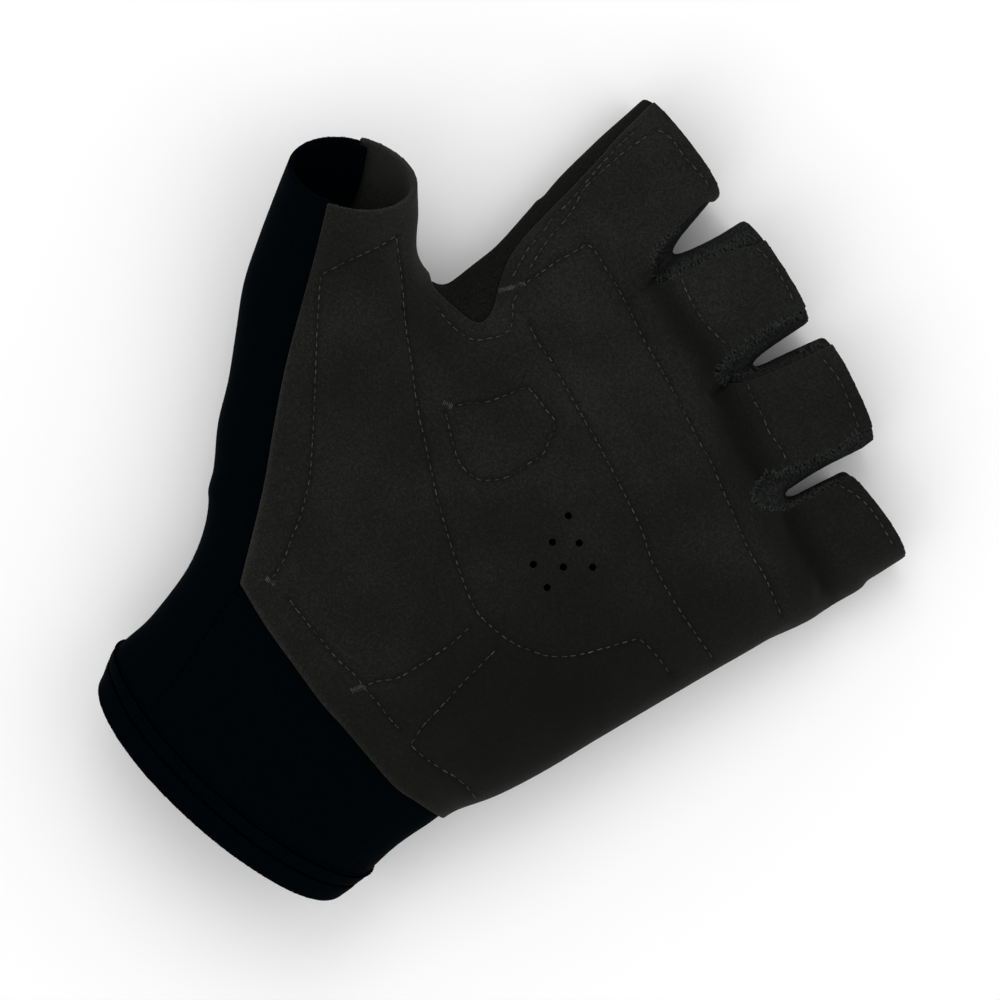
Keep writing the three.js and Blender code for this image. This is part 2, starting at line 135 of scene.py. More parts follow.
# the gaps between the fingers, from past one mouth into the crotch and out again
slots = {
    "slot1": [[-24.3, 88.3], [-22.3, 75.5], [-21.7, 71.5], [-21.1, 67.1], [-20.4, 63.6], [-19.3, 61.2],
              [-18.5, 60.6], [-17.5, 61.1], [-16.5, 63.5], [-15.7, 66.9], [-15, 70.9], [-14.8, 75.8],
              [-15.7, 85.6]],
    "slot2": [[10.5, 85.1], [10.2, 74.4], [9.7, 68.4], [9.4, 63.2], [9.7, 60.1], [10.4, 59.3],
              [11.2, 59.7], [12, 62.1], [13, 67.1], [14.7, 74.1], [16.4, 83.1]],
    "slot3": [[40.4, 79], [38.8, 68.8], [37.8, 63.7], [36.6, 58.8], [35.8, 53.3], [35.3, 48.6],
              [35.8, 47.2], [36.7, 47.3], [37.7, 49.7], [38.4, 53.9], [39.6, 59.9], [41.7, 68.7]],
}
# soft folds where the fingers and thumb bend: run, half width, depth, then painted shade: how much the
# suede's colour is darkened along the fold, where shade falls
hollows = {
    "middleRoot": ([[-15.6, 54.0], [-6.1, 52.9], [4.0, 52.6]], 2.5, 1.5, 0.26),
    "ringRoot": ([[9.6, 51.2], [19.6, 48.2], [29.2, 45.6]], 3.3, 2.2, 0.34),
    "littleRoot": ([[40.0, 44.5], [50.3, 43.3], [60.3, 42.2]], 3.0, 1.9, 0.26),
    "thumbRoot": ([[-41, 10.5], [-34.6, 9.3]], 4.5, 0.5, 0.08),
}


def splineRows(rows, perGap):
    # Catmull-Rom through the table rows, so a section changes smoothly from row to row.
    table = np.array(rows, float)
    padded = np.vstack([2 * table[0] - table[1], table, 2 * table[-1] - table[-2]])
    count = len(table)
    t = np.linspace(0, count - 1, (count - 1) * perGap + 1)
    i = np.minimum(t.astype(int), count - 2)
    f = (t - i)[:, None]
    a, b, c, d = (padded[i + k] for k in range(4))
    return 0.5 * (2 * b + (c - a) * f + (2 * a - 5 * b + 4 * c - d) * f ** 2
                  + (3 * b - a - 3 * c + d) * f ** 3)


def smoothLow(a, b, r):
    # polynomial smooth minimum: the smaller of two distances, blended over a radius r
    h = np.maximum(r - np.abs(a - b), 0) / r
    return np.minimum(a, b) - h * h * r * 0.25


def smoothHigh(a, b, r):
    # the larger of two distances, blended in the same way
    return -smoothLow(-a, -b, r)


gridX = np.arange(-90.0, 67.0, cell, dtype=np.float32)
gridY = np.arange(-102.0, 83.0, cell, dtype=np.float32)
gridZ = np.arange(-2.4, 46.0, cell, dtype=np.float32)
planX, planY = np.meshgrid(gridX, gridY, indexing="ij")


def lineDistance(points, x, y):
    # shortest distance in plan to a run of points
    best = np.full(x.shape, 1e6, np.float32)
    for (ax, ay), (bx, by) in zip(points[:-1], points[1:]):
        dx, dy = bx - ax, by - ay
        length = max(dx * dx + dy * dy, 1e-9)
        t = np.clip(((x - ax) * dx + (y - ay) * dy) / length, 0, 1)
        best = np.minimum(best, np.hypot(x - ax - t * dx, y - ay - t * dy))
    return best


def outlineDistance(points, x, y):
    # signed: negative inside the closed outline
    ring = np.vstack([points, points[:1]])
    inside = np.zeros(x.shape, bool)
    for (ax, ay), (bx, by) in zip(ring[:-1], ring[1:]):
        crosses = (ay > y) != (by > y)
        if by != ay:
            inside ^= crosses & (x < (bx - ax) * (y - ay) / (by - ay) + ax)
    distance = lineDistance(ring, x, y)
    return np.where(inside, -distance, distance)


def flatTube(rows, capStart):
    # A tube whose sections stand upright: in plan each point lies on one section line s and at
    # one share w of its half width; the height joins them as (|w|^n + |(z-mid)/half|^n)^(1/n).
    table = splineRows(rows, 6)
    left, right = table[:, 0:2], table[:, 2:4]
    across = right - left
    width = np.linalg.norm(across, axis=1)
    across = across / width[:, None]
    ahead = np.stack([-across[:, 1], across[:, 0]], 1)
    centre = (left + right) / 2
    count = len(table)
    station = np.full(planX.shape, -1.0, np.float32)
    previous = (planX - centre[0, 0]) * ahead[0, 0] + (planY - centre[0, 1]) * ahead[0, 1]
    first = previous.copy()
    station[previous < 0] = 0
    for k in range(1, count):
        this = (planX - centre[k, 0]) * ahead[k, 0] + (planY - centre[k, 1]) * ahead[k, 1]
        between = (station < 0) & (previous >= 0) & (this < 0)
        station[between] = (k - 1) + previous[between] / (previous[between] - this[between])
        previous = this
    station[station < 0] = count - 1
    steps = np.arange(count)

    def at(column):
        return np.interp(station, steps, column).astype(np.float32)

    cx, cy, ax, ay = at(centre[:, 0]), at(centre[:, 1]), at(across[:, 0]), at(across[:, 1])
    halfWidth, mid, half, square = at(width / 2), at(table[:, 4]), at(table[:, 5]), at(table[:, 6])
    side = np.abs((planX - cx) * ax + (planY - cy) * ay) / halfWidth
    n = square[..., None]
    rise = np.abs(gridZ[None, None, :] - mid[..., None]) / half[..., None]
    shape = ((side ** square)[..., None] + rise ** n) ** (1 / n) - 1
    field = shape * np.minimum(halfWidth, half)[..., None]
    if capStart:
        field = np.maximum(field, -first[..., None])
    return field.astype(np.float32)


def leaningTube(rows):
    # The thumb: its sections lean back as it rises, so a point's section is found in 3-D.
    table = splineRows(rows, 4)
    left, right = table[:, 0:2], table[:, 2:4]
    across = right - left
    width = np.linalg.norm(across, axis=1)
    across = across / width[:, None]
    lean = np.radians(table[:, 7])
    normal = np.stack([-across[:, 1] * np.cos(lean), across[:, 0] * np.cos(lean), np.sin(lean)], 1)
    up = np.stack([across[:, 1] * np.sin(lean), -across[:, 0] * np.sin(lean), np.cos(lean)], 1)
    centre = np.column_stack([(left + right) / 2, table[:, 4]])
    nearX = gridX < 10
    nearY = (gridY > -62) & (gridY < 46)
    px = gridX[nearX][:, None, None]
    py = gridY[nearY][None, :, None]
    pz = gridZ[None, None, :]
    station = np.full((nearX.sum(), nearY.sum(), len(gridZ)), -1.0, np.float32)

    def ahead(k):
        return ((px - centre[k, 0]) * normal[k, 0] + (py - centre[k, 1]) * normal[k, 1]
                + (pz - centre[k, 2]) * normal[k, 2]).astype(np.float32)

    previous = ahead(0)
    first = previous.copy()
    station[previous < 0] = 0
    count = len(table)
    for k in range(1, count):
        this = ahead(k)
        between = (station < 0) & (previous >= 0) & (this < 0)
        station[between] = (k - 1) + previous[between] / (previous[between] - this[between])
        previous = this
    station[station < 0] = count - 1
    steps = np.arange(count)

    def at(column):
        return np.interp(station, steps, column).astype(np.float32)

    dx, dy, dz = px - at(centre[:, 0]), py - at(centre[:, 1]), pz - at(centre[:, 2])
    side = np.abs(dx * at(across[:, 0]) + dy * at(across[:, 1])) / at(width / 2)
    rise = np.abs(dx * at(up[:, 0]) + dy * at(up[:, 1]) + dz * at(up[:, 2])) / at(table[:, 5])
    n = at(table[:, 6])
    shape = (side ** n + rise ** n) ** (1 / n) - 1
    inner = np.maximum(shape * at(table[:, 5]), -first)
    field = np.full(planX.shape + (len(gridZ),), 60.0, np.float32)
    field[np.ix_(nearX, nearY, np.arange(len(gridZ)))] = inner
    return field


def softened(field, passes):
    # repeated three-point averages along each axis: a small Gaussian blur
    for _ in range(passes):
        for axis in range(3):
            moved = np.moveaxis(field, axis, 0)
            middle = moved[1:-1] * 0.5 + (moved[:-2] + moved[2:]) * 0.25
            moved[1:-1] = middle
    return field


hand = flatTube(bodyRows, False)
palmEnd = (planY - form["palmEndY"]) - form["palmEndTilt"] * (planX - form["palmEndX"])
hand = np.maximum(hand, palmEnd[..., None])
fingers = None
for name in ("index", "middle", "ring", "little"):
    tube = flatTube(fingerRows[name], True)
    fingers = tube if fingers is None else smoothLow(fingers, tube, form["rootBlend"])
hand = smoothLow(hand, fingers, form["fingerBlend"])
hand = smoothLow(hand, leaningTube(thumbRows), form["thumbBlend"])
for points in slots.values():
    fromSlot = outlineDistance(np.array(points), planX, planY)[..., None]
    hand = smoothHigh(hand, form["slotEase"] - fromSlot, form["slotBlend"])
palmSide = np.clip((gridZ - form["foldStart"]) / form["foldRun"], 0, 1)[None, None, :]
for points, width, depth, _ in hollows.values():
    fromRun = lineDistance(splineRows(points, 6), planX, planY)
    hand = hand + (depth * np.exp(-(fromRun / width) ** 2))[..., None] * palmSide
hand = softened(hand, form["softPasses"])
# divided by its own slope, the field reads in millimetres from the cloth
slope = np.gradient(hand, cell)
hand = hand / np.clip(np.sqrt(slope[0] ** 2 + slope[1] ** 2 + slope[2] ** 2), 0.35, 3)
floorSide = -gridZ[None, None, :] + 0 * hand
hand = smoothHigh(hand, floorSide, form["floorRound"]).astype(np.float32)
print("hand form", hand.shape)


# Seam lines, as seen from straight above the palm.
seams = {
    "thumbEdgeTop": [[-92, 38], [-76, 15], [-70.9, 8.8], [-64.5, 0], [-57.9, -8.6], [-49.6, -18.5],
                     [-41.5, -27.5], [-31.8, -38], [-19.6, -53.4]],
    "thumbEdgeLow": [[-88.8, 43.2], [-71.8, 20.2], [-68.2, 12.0], [-61.8, 3.2], [-56, -6.2], [-49, -17.6],
                     [-41.2, -27.2], [-31.8, -38], [-19.6, -53.4]],
    "cuffSeam": [[-19.6, -53.4], [-18.6, -57], [-16.4, -63.9], [-13.7, -71.4], [-11.7, -78.8],
                 [-10.5, -85.1], [-8.8, -92.8], [-6.9, -104]],
    "wristEdge": [[-19.6, -53.4], [-9.3, -54.6], [0.5, -55], [10.4, -55.3], [17.7, -54.8],
                  [24.2, -54.6], [33.7, -54.1], [38.6, -52.6], [42.8, -51.3], [51.6, -48.3], [70, -42]],
}
gussetOutline = [[-48.6, 18.3], [-43.6, 16.5], [-38, 17.2], [-33.1, 18.4], [-31.5, 20.4],
                 [-32.3, 23.4], [-35, 27.1], [-36.8, 29.6], [-39, 33.7], [-40.4, 39.1],
                 [-41.2, 44.5], [-42.1, 51.3], [-43.3, 59.4], [-44.6, 66], [-45.2, 71],
                 [-45.8, 76], [-46, 84], [-54, 84], [-54, 30], [-49.1, 22.4]]
middleOutline = [[-14.2, 56.2], [-11, 55.2], [-4.7, 54.3], [0.1, 54.3], [5.3, 54.5], [9.2, 55.4],
                 [17.6, 82.2], [-11.7, 89.1], [-18, 79.3], [-18.5, 67.7], [-17.1, 59.2]]
ringOutline = [[11.6, 53.8], [16, 52.5], [22.6, 50.8], [27.6, 49.6], [30.9, 48.4], [36.3, 48.9],
               [42, 71.1], [37.1, 81.6], [14.5, 79.3], [11.1, 59.9]]
webOutlines = {
    "index_middle": (
        [[-8.4, 79.6], [-9.1, 75], [-10.5, 72.2], [-12.4, 66.7], [-13.5, 61.2], [-14.9, 57],
         [-14.4, 55.5], [-15.5, 54.2], [-18.4, 54.6], [-20.2, 57.1], [-21.3, 61.4], [-22.5, 66.6],
         [-23, 72.5], [-17.8, 79.6]],
        [[-20.3, 55.3], [-28.6, 58.1], [-35, 78], [-33.5, 90.1], [-3.7, 90.8], [-2.3, 73.8],
         [-7.2, 59], [-13.9, 54.8]]),
    "middle_ring": (
        [[7.7, 83.2], [7.5, 75.1], [7.7, 70.5], [6.2, 66.3], [5.9, 62.8], [5.7, 58.2], [5.5, 54.8],
         [6.4, 52.3], [8.5, 51.8], [10.5, 53.1], [11.9, 54.8], [13.4, 58.7], [15.4, 65.8],
         [17.1, 74], [17.6, 79.9]],
        [[10.6, 55.2], [5.2, 57.2], [1.4, 76], [6.5, 89.3], [31.5, 84.7], [27, 71.4], [23.9, 58.6],
         [16, 54.6]]),
    "ring_little": (
        [[36.9, 75.1], [35.3, 68.1], [35, 64.6], [34.7, 60.8], [33.5, 57.2], [32.7, 53.8],
         [31.8, 49.2], [29.7, 47.9], [31.4, 42.6], [33.6, 41.7], [36.2, 41.8], [37.3, 44.4],
         [38.6, 46.3], [39.9, 50.7], [40.6, 54.6], [41.4, 59.1], [42.3, 66.7]],
        [[36.2, 42.3], [30, 45.9], [28.2, 53.9], [28, 72.5], [38.4, 83.3], [56.9, 72.8],
         [50.6, 59.6], [48.5, 46.1], [40.5, 41.6]]),
}


def plan(points):
    # signed distance to an outline that stands upright through the glove
    return outlineDistance(np.array(points, float), planX, planY)[..., None]


# the thumb edge leans from its low line at the surface to its top line at thumbTop; the side
# strips reach up to web; the back cloth's seam has these heights along the hand
seamHeights = {
    "thumbTop": 48,
    "web": 9.0,
    "backAlong": [-140, -40, 30, 52, 140],
    "back": [10, 9, 8, 5.5, 5.5],
}
farCorner = [[-67, -140], [-140, -60], [-140, 60]]
topRun = np.vstack([splineRows(seams["thumbEdgeTop"], 6), splineRows(seams["cuffSeam"], 6)[1:]])
lowRun = np.vstack([splineRows(seams["thumbEdgeLow"], 6), splineRows(seams["cuffSeam"], 6)[1:]])
stripTop, stripLow = plan(np.vstack([topRun, farCorner])), plan(np.vstack([lowRun, farCorner]))
share = np.clip(gridZ / seamHeights["thumbTop"], 0, 1)[None, None, :]
thumbSide = stripLow + (stripTop - stripLow) * share
backHeight = np.interp(planY, seamHeights["backAlong"], seamHeights["back"]).astype(np.float32)
aboveBack = backHeight[..., None] - gridZ[None, None, :]
wristRun = splineRows(seams["wristEdge"], 6)
cuffRun = splineRows(seams["cuffSeam"], 6)
wristZone = plan(np.vstack([wristRun, [[70, -130], [-6, -130]], cuffRun[::-1]]))
gussetZone = plan(splineRows(gussetOutline, 4))
middleZone, ringZone = plan(middleOutline), plan(ringOutline)
webZones = {}
for name, (face, side) in webOutlines.items():
    low = np.maximum(plan(side), gridZ[None, None, :] - seamHeights["web"])
    webZones[name] = np.minimum(plan(face), low)
allWebs = np.minimum(np.minimum(webZones["index_middle"], webZones["middle_ring"]),
                     webZones["ring_little"])


def planeBeyond(point, direction, lean, outward):
    # signed distance to a leaning plane: negative on the hand's side of a mouth
    ahead = np.array(direction) / np.linalg.norm(direction)
    a = math.radians(lean)
    nx, ny, nz = ahead[0] * math.cos(a), ahead[1] * math.cos(a), -math.sin(a)
    flat = (planX - point[0]) * nx + (planY - point[1]) * ny
    return (outward * (flat[..., None] + (gridZ - point[2])[None, None, :] * nz)).astype(np.float32)


def mouthPlane(row, lean, outward=1, further=0):
    # the plane across a tube at one of its table rows, moved further along the tube
    across = np.array([row[2] - row[0], row[3] - row[1]])
    ahead = np.array([-across[1], across[0]]) / np.linalg.norm(across)
    middleX = (row[0] + row[2]) / 2 + further * ahead[0]
    middleY = (row[1] + row[3]) / 2 + further * ahead[1]
    return planeBeyond((middleX, middleY, row[4]), ahead, lean, outward)


hemEnd = mouthPlane(bodyRows[1], -form["hemLean"], -1)
cut = hemEnd
# each finger's mouth cuts between these two x only, and lets go steeply past them
near = {"index": (-60, -19), "middle": (-19, 12.7), "ring": (12.7, 38.9), "little": (38.9, 80)}
for name, (low, high) in near.items():
    mouth = mouthPlane(fingerRows[name][-1], form["fingerMouthLean"], 1, form["mouthOut"])
    beyond = np.maximum(np.maximum(low - planX, planX - high), 0)[..., None]
    cut = np.maximum(cut, mouth - beyond * form["mouthLetGo"])
mouth = mouthPlane(thumbRows[-1][:7], form["thumbMouthLean"], 1, -form["thumbMouthIn"])
beyond = np.maximum(planX - form["thumbMouthEnd"], 0)[..., None]
cut = np.maximum(cut, mouth - beyond * form["mouthLetGo"])
print("seams and mouths")


# Stitch runs on the suede, as seen from straight above the palm.
stitchRuns = {
    "thumbPadSide": [[-60.1, -0.5], [-54.5, -5.6], [-47.3, -11.8], [-38.3, -19.4], [-28.6, -28],
        [-27, -29.8], [-22.9, -35.1], [-20.3, -39.6], [-17.7, -43.8], [-16.2, -48.1]],
    "thumbPadTop": [[-60.1, -0.5], [-58.7, 6.4], [-57.2, 12.7], [-56.8, 17]],
    "thumbBall": [[-56.7, 16.8], [-53.4, 14.8], [-48.7, 12], [-40.9, 6.9], [-33.7, 2.9], [-25.8, -1.7],
        [-17.7, -5.6], [-9, -9.8], [-1.7, -12.8], [3.2, -14.7], [7.8, -16.2], [12.3, -17.6],
        [16.4, -18.2], [21.3, -17.4], [25.2, -16.2], [28.7, -14.4], [31.6, -12.4], [33.6, -10.2],
        [35.1, -8], [36.4, -5.5], [38, -1.5], [39.5, 2.2], [40.7, 5]],
    "thumbBallEnd": [[40.7, 5], [44.2, 5.7], [47.9, 5.7], [50.5, 5.6]],
    "palmCross": [[-25.2, 27.4], [-20.6, 26.5], [-16.9, 26.5], [-12.9, 25.8], [-7.4, 25], [-0.2, 23.9],
        [4.8, 23.2], [11.1, 22], [16.9, 20.9], [21.2, 20], [24.7, 19], [29, 17.3], [33.4, 16.5],
        [37.2, 15.9], [41.3, 15.4], [47.7, 15], [53.6, 14.7]],
    "indexRootLine": [[-32.5, 32.1], [-32.3, 36.4], [-32, 41.3], [-31.4, 44], [-31.2, 47.3]],
    "palmOuter": [[-31.2, 47.3], [-29.2, 47.9], [-26.2, 47.6], [-22.6, 47.2], [-15.8, 46.2],
        [-8.3, 44.6], [0.5, 43.3], [8.5, 41.9], [15.1, 40.5], [21.3, 39.6], [28.6, 37.6], [35.9, 35.7],
        [41.7, 34.3], [46.7, 33.9], [55.1, 31.6]],
    "wristLine": [[-10.9, -47.4], [-7, -47.5], [-0.8, -47.4], [5.8, -47.2], [10.2, -46.3],
        [13.8, -46.5], [17.5, -46.2], [23, -46.2], [24.9, -45.9]],
    "crossLine": [[12.8, -47.8], [14, -43.5], [16.1, -39.8], [16.9, -34], [17.3, -29], [17.4, -25.1],
        [17, -21.3]],
    "heelSide": [[24, -19.8], [24.6, -23.5], [25.2, -28.8], [26.5, -36.4], [27.2, -41.5],
        [28.4, -45.1], [28.7, -46.1]],
    "heelFoot": [[28.7, -46.1], [31.5, -45.9], [36.1, -44.5], [41.6, -42.6], [46.5, -42.5]],
    "patch": [[-22.7, 3.6], [-20.9, 5.4], [-19.9, 7.6], [-18.2, 9.7], [-17, 13], [-16.2, 15.4],
        [-15.4, 18.5], [-14.3, 19.2], [-11.8, 19.3], [-8.2, 19.2], [-6, 19.3], [-4.2, 17.1],
        [-3.4, 15.4], [-1.9, 13.2], [-2.2, 10.2], [-2.4, 7.5], [-2.9, 3.8], [-4.1, 1.6], [-6, -0.9],
        [-8.2, -1.6], [-10.4, -2], [-13.9, -1.1], [-17.1, 0.3], [-21.4, 2.3]],
    "webHem": [[-40.8, 14.6], [-35.4, 14.4], [-30.1, 16.1], [-27.8, 19.6], [-26.6, 22.9],
        [-28.9, 26.1], [-31.1, 27.8], [-31.8, 29.6]],
    "indexInnerRow": [[-35.2, 30.7], [-36.2, 33.1], [-37.9, 37.1], [-38.6, 40.6], [-38.9, 42.4],
        [-39.6, 44.5], [-40, 46.4], [-40.2, 49.5], [-41.2, 54.3], [-42.3, 59.7], [-43.3, 66.1],
        [-43.4, 68.6], [-43.3, 70.1]],
    "indexOuterRow": [[-34.3, 34.5], [-35.2, 36.8], [-36.1, 39.1], [-36.8, 41.6], [-37.4, 44.2],
        [-37.7, 46.5], [-38.3, 48.9], [-39.2, 51.1], [-40.5, 53.5], [-40.8, 55.6], [-41, 58.4],
        [-41.2, 60.5], [-41.5, 67.6], [-41.2, 70], [-41.2, 73.5]],
    "indexHem": [[-41.1, 73.7], [-39.2, 74.6], [-36.7, 75.1], [-34, 74.8], [-29, 75.1], [-26.5, 75.3],
        [-24.6, 74.9]],
    "middleEdge": [[-13.5, 58.8], [-9.9, 57.6], [-6.4, 57], [-2.3, 56.7], [0.6, 57.1], [3.6, 57.4]],
    "middleHem": [[-8.9, 74.9], [-6.1, 75.4], [-3.6, 75.6], [-0.1, 75.2], [2.3, 74.9], [4.8, 74.3]],
    "ringEdge": [[12.4, 56.1], [16, 54.9], [19.3, 54.4], [24.2, 53.1], [27.4, 53.2], [30.5, 52.4]],
    "ringHem": [[18.1, 71.6], [21.1, 71.7], [24, 71.6], [28, 70.6], [31.9, 69.4], [34.7, 68.6]],
    "littleHem": [[41.2, 57.9], [44.5, 59.3], [48.3, 60.1], [53.2, 59.9], [58.4, 59.1]],
}
tackRuns = {
    "thumbRoot": [[-17.4, -48.5], [-14.9, -47.8]],
    "patchCorner": [[-23.6, 3.2], [-21.5, 4.2]],
    "webCorner": [[-34.8, 26.7], [-32.5, 32.1]],
    "wristCorner": [[12.3, -49.1], [13.3, -46.1]],
}
relief = {
    "padRise": 0.5,    # height of the pads between stitch rows, and the run that it takes
    "padRun": 2.0,
    "channelDip": 0.42,    # dip under a row of quilting, and under an edge row
    "channelRun": 0.5,
    "hemDip": 0.3,
    "softWave": 0.25,    # slow and fine unevenness of the suede, then of the other cloth
    "softLength": 13,
    "fineWave": 0.09,
    "fineLength": 4.0,
    "patchRise": 0.35,
    "patchRun": 2.5,
    "clothWave": 0.16,
    "clothLength": 16,
    "sideFade": 4.0,    # distance in from the outline at which the relief is full
    "dentSpread": 0.6,
}
# where the little finger's side begins: at x, and further out by shift over a run from y up
heelSide = {
    "x": 22,
    "shift": 22,
    "y": 10,
    "run": 20,
    "blend": 6,
}
# soft hollows at the finger roots and wrist: x, y, radius, depth
dents = [
    [-5.0, 50.5, 9.0, 0.7], [17.5, 47.0, 9.0, 0.8], [36.5, 36.0, 8.0, 0.7], [-24.0, 51.0, 7.0, 0.5],
    [46.0, 44.0, 9.0, 0.6], [-36.0, 12.0, 8.0, 0.6], [-46.0, 2.0, 9.0, 0.4], [12.0, 30.0, 14.0, 0.4],
]
quilted = ("thumbPadSide", "thumbPadTop", "thumbBall", "thumbBallEnd", "palmCross", "indexRootLine",
           "palmOuter", "wristLine", "crossLine", "heelSide", "heelFoot", "patch")


def softNoise(x, y, wavelength, seed):
    # a sum of eight plane waves in seeded directions, each of about one wavelength in millimetres
    rng = np.random.default_rng(seed)
    total = np.zeros(x.shape, np.float32)
    for _ in range(8):
        angle, phase = rng.uniform(0, 2 * np.pi, 2)
        k = 2 * np.pi / (wavelength * rng.uniform(0.7, 1.4))
        total += np.sin(k * (x * np.cos(angle) + y * np.sin(angle)) + phase)
    return total / 8


channelDistance = np.full(planX.shape, 1e3, np.float32)
hemDistance = channelDistance.copy()
for name, points in stitchRuns.items():
    fromRun = lineDistance(splineRows(points, 3), planX, planY)
    if name in quilted:
        channelDistance = np.minimum(channelDistance, fromRun)
    else:
        hemDistance = np.minimum(hemDistance, fromRun)
# pads swell away from the stitches as 1 - exp(-(d/run)^2), and each row lies in its own narrow dip
suedeRelief = relief["padRise"] * (1 - np.exp(-(channelDistance / relief["padRun"]) ** 2))
suedeRelief -= relief["channelDip"] * np.exp(-(channelDistance / relief["channelRun"]) ** 2)
suedeRelief -= relief["hemDip"] * np.exp(-(hemDistance / relief["channelRun"]) ** 2)
patchDistance = outlineDistance(np.array(stitchRuns["patch"], float), planX, planY)
suedeRelief += relief["patchRise"] * np.clip(-patchDistance / relief["patchRun"], 0, 1)
suedeRelief += relief["softWave"] * softNoise(planX, planY, relief["softLength"], seed=3)
suedeRelief += relief["fineWave"] * softNoise(planX, planY, relief["fineLength"], seed=7)
# the relief dies out towards the outline on the little finger's side, which stays even
inFromSide = np.clip(-hand.min(axis=2) / relief["sideFade"], 0, 1)
fartherUp = np.clip((planY - heelSide["y"]) / heelSide["run"], 0, 1)
onHeelSide = planX - heelSide["x"] - heelSide["shift"] * fartherUp
onHeelSide = np.clip(onHeelSide / heelSide["blend"], 0, 1)
inFromSide = 1 - onHeelSide * (1 - inFromSide)
suedeRelief = relief["padRise"] + inFromSide * (suedeRelief - relief["padRise"])
for x, y, radius, depth in dents:
    spread = radius * relief["dentSpread"]
    suedeRelief -= depth * np.exp(-((planX - x) ** 2 + (planY - y) ** 2) / spread ** 2)
clothRelief = relief["clothWave"] * softNoise(planX, planY, relief["clothLength"], seed=11)
print("relief")

# Millimetres: how far each cloth's outer face stands out of the hand form and its inner face
# lies within, then the allowance that the lower cloth of each seam runs under the upper one.
layers = {
    "suedeOut": 0.6,
    "suedeIn": 0.35,
    "clothOut": 0.1,
    "clothIn": 1.0,
    "gussetOut": 0.2,
    "gussetWave": 0.6,    # share of the cloth's unevenness
    "webOut": 0.3,
    "fingerOver": 0.1,    # middle and ring finger suede over the palm's
    "lapTop": 1.1,    # depths of the allowance's two faces, then how far it runs on
    "lapIn": 1.8,
    "lapRun": 2.2,
    "lapClear": 0.2,
    "lapApart": 0.1,
    "lapFromMouth": 0.4,
    "thickNear": 1.2,    # this near the upper cloth, a lower one is as deep as its allowance
    "thickFromMouth": 0.8,
    "seamGap": -0.15,    # below nought, cloths run past each other, so that no gap shows
}
farAway = 50    # stands for a cloth that isn't there
dip = np.maximum(-suedeRelief, 0)[..., None]
deep = hand + dip
suedeOuter = hand - layers["suedeOut"] - suedeRelief[..., None]
clothOuter = hand - layers["clothOut"] - clothRelief[..., None]
fingerOuter = suedeOuter - layers["fingerOver"]
gussetOuter = hand - layers["gussetOut"] - layers["gussetWave"] * clothRelief[..., None]
webOuter = hand - layers["webOut"]


def netSurface(field):
    # Surface net: one point in each cell that the face passes through, at the mean of its
    # edge crossings, then moved along the slope onto the face itself.
    inside = field < 0
    total = np.zeros(tuple(np.array(field.shape) - 1), np.int8)
    corners = [(i, j, k) for i in (0, 1) for j in (0, 1) for k in (0, 1)]
    nx, ny, nz = total.shape
    for i, j, k in corners:
        total += inside[i:nx + i, j:ny + j, k:nz + k]
    cells = np.argwhere((total > 0) & (total < 8))
    number = np.full(total.shape, -1, np.int32)
    number[tuple(cells.T)] = np.arange(len(cells))
    value = {c: field[cells[:, 0] + c[0], cells[:, 1] + c[1], cells[:, 2] + c[2]] for c in corners}
    point = np.zeros((len(cells), 3))
    weight = np.zeros(len(cells))
    for a in corners:
        for axis in range(3):
            if a[axis]:
                continue
            b = tuple(1 if n == axis else a[n] for n in range(3))
            crosses = (value[a] < 0) != (value[b] < 0)
            gap = value[a] - value[b]
            share = np.where(crosses, value[a] / np.where(gap == 0, 1, gap), 0)
            step = np.array(a, float)[None, :] + share[:, None] * np.eye(3)[axis]
            point += np.where(crosses[:, None], step, 0)
            weight += crosses
    point = cells + point / weight[:, None]
    quads = []
    for axis in range(3):
        low = np.moveaxis(inside, axis, 0)[:-1]
        high = np.moveaxis(inside, axis, 0)[1:]
        edges = np.argwhere(low != high)
        edges = edges[(edges[:, 1] > 0) & (edges[:, 2] > 0)]
        edges = edges[(edges[:, 1] < low.shape[1] - 1) & (edges[:, 2] < low.shape[2] - 1)]
        outward = low[tuple(edges.T)]
        moved = np.moveaxis(number, axis, 0)
        e0, e1, e2 = edges.T
        ring = np.stack([moved[e0, e1 - 1, e2 - 1], moved[e0, e1, e2 - 1],
                         moved[e0, e1, e2], moved[e0, e1 - 1, e2]], 1)
        flip = outward if axis != 1 else ~outward
        ring[~flip] = ring[~flip][:, ::-1]
        quads.append(ring)
    return point, np.vstack(quads)


def sampled(field, point):
    # the field at any points, straight-line blended between the eight cell corners
    base = np.clip(np.floor(point).astype(int), 0, np.array(field.shape) - 2)
    f = point - base
    out = np.zeros(len(point))
    for i in (0, 1):
        for j in (0, 1):
            for k in (0, 1):
                w = ((f[:, 0] if i else 1 - f[:, 0]) * (f[:, 1] if j else 1 - f[:, 1])
                     * (f[:, 2] if k else 1 - f[:, 2]))
                out += w * field[base[:, 0] + i, base[:, 1] + j, base[:, 2] + k]
    return out


def fieldAt(field, point):
    # a field at any points given in drawing millimetres
    return sampled(field, (point - [gridX[0], gridY[0], gridZ[0]]) / cell)


def settled(field, point, rounds=2):
    # Newton steps along the slope, each at most a third of a cell
    for _ in range(rounds):
        value = sampled(field, point)
        slope = np.stack([sampled(field, point + d) - sampled(field, point - d)
                          for d in np.eye(3) * 0.5], 1)
        size = np.maximum((slope ** 2).sum(1), 0.05)
        step = -(value / size)[:, None] * slope
        length = np.linalg.norm(step, axis=1, keepdims=True)
        point = point + step * np.minimum(1, 0.33 / np.maximum(length, 1e-9))
    return point


def toPart(point):
    # drawing millimetres to the part's own metres
    return (np.asarray(point, float) - [drawing["originX"], drawing["originY"], 0]) / 1000


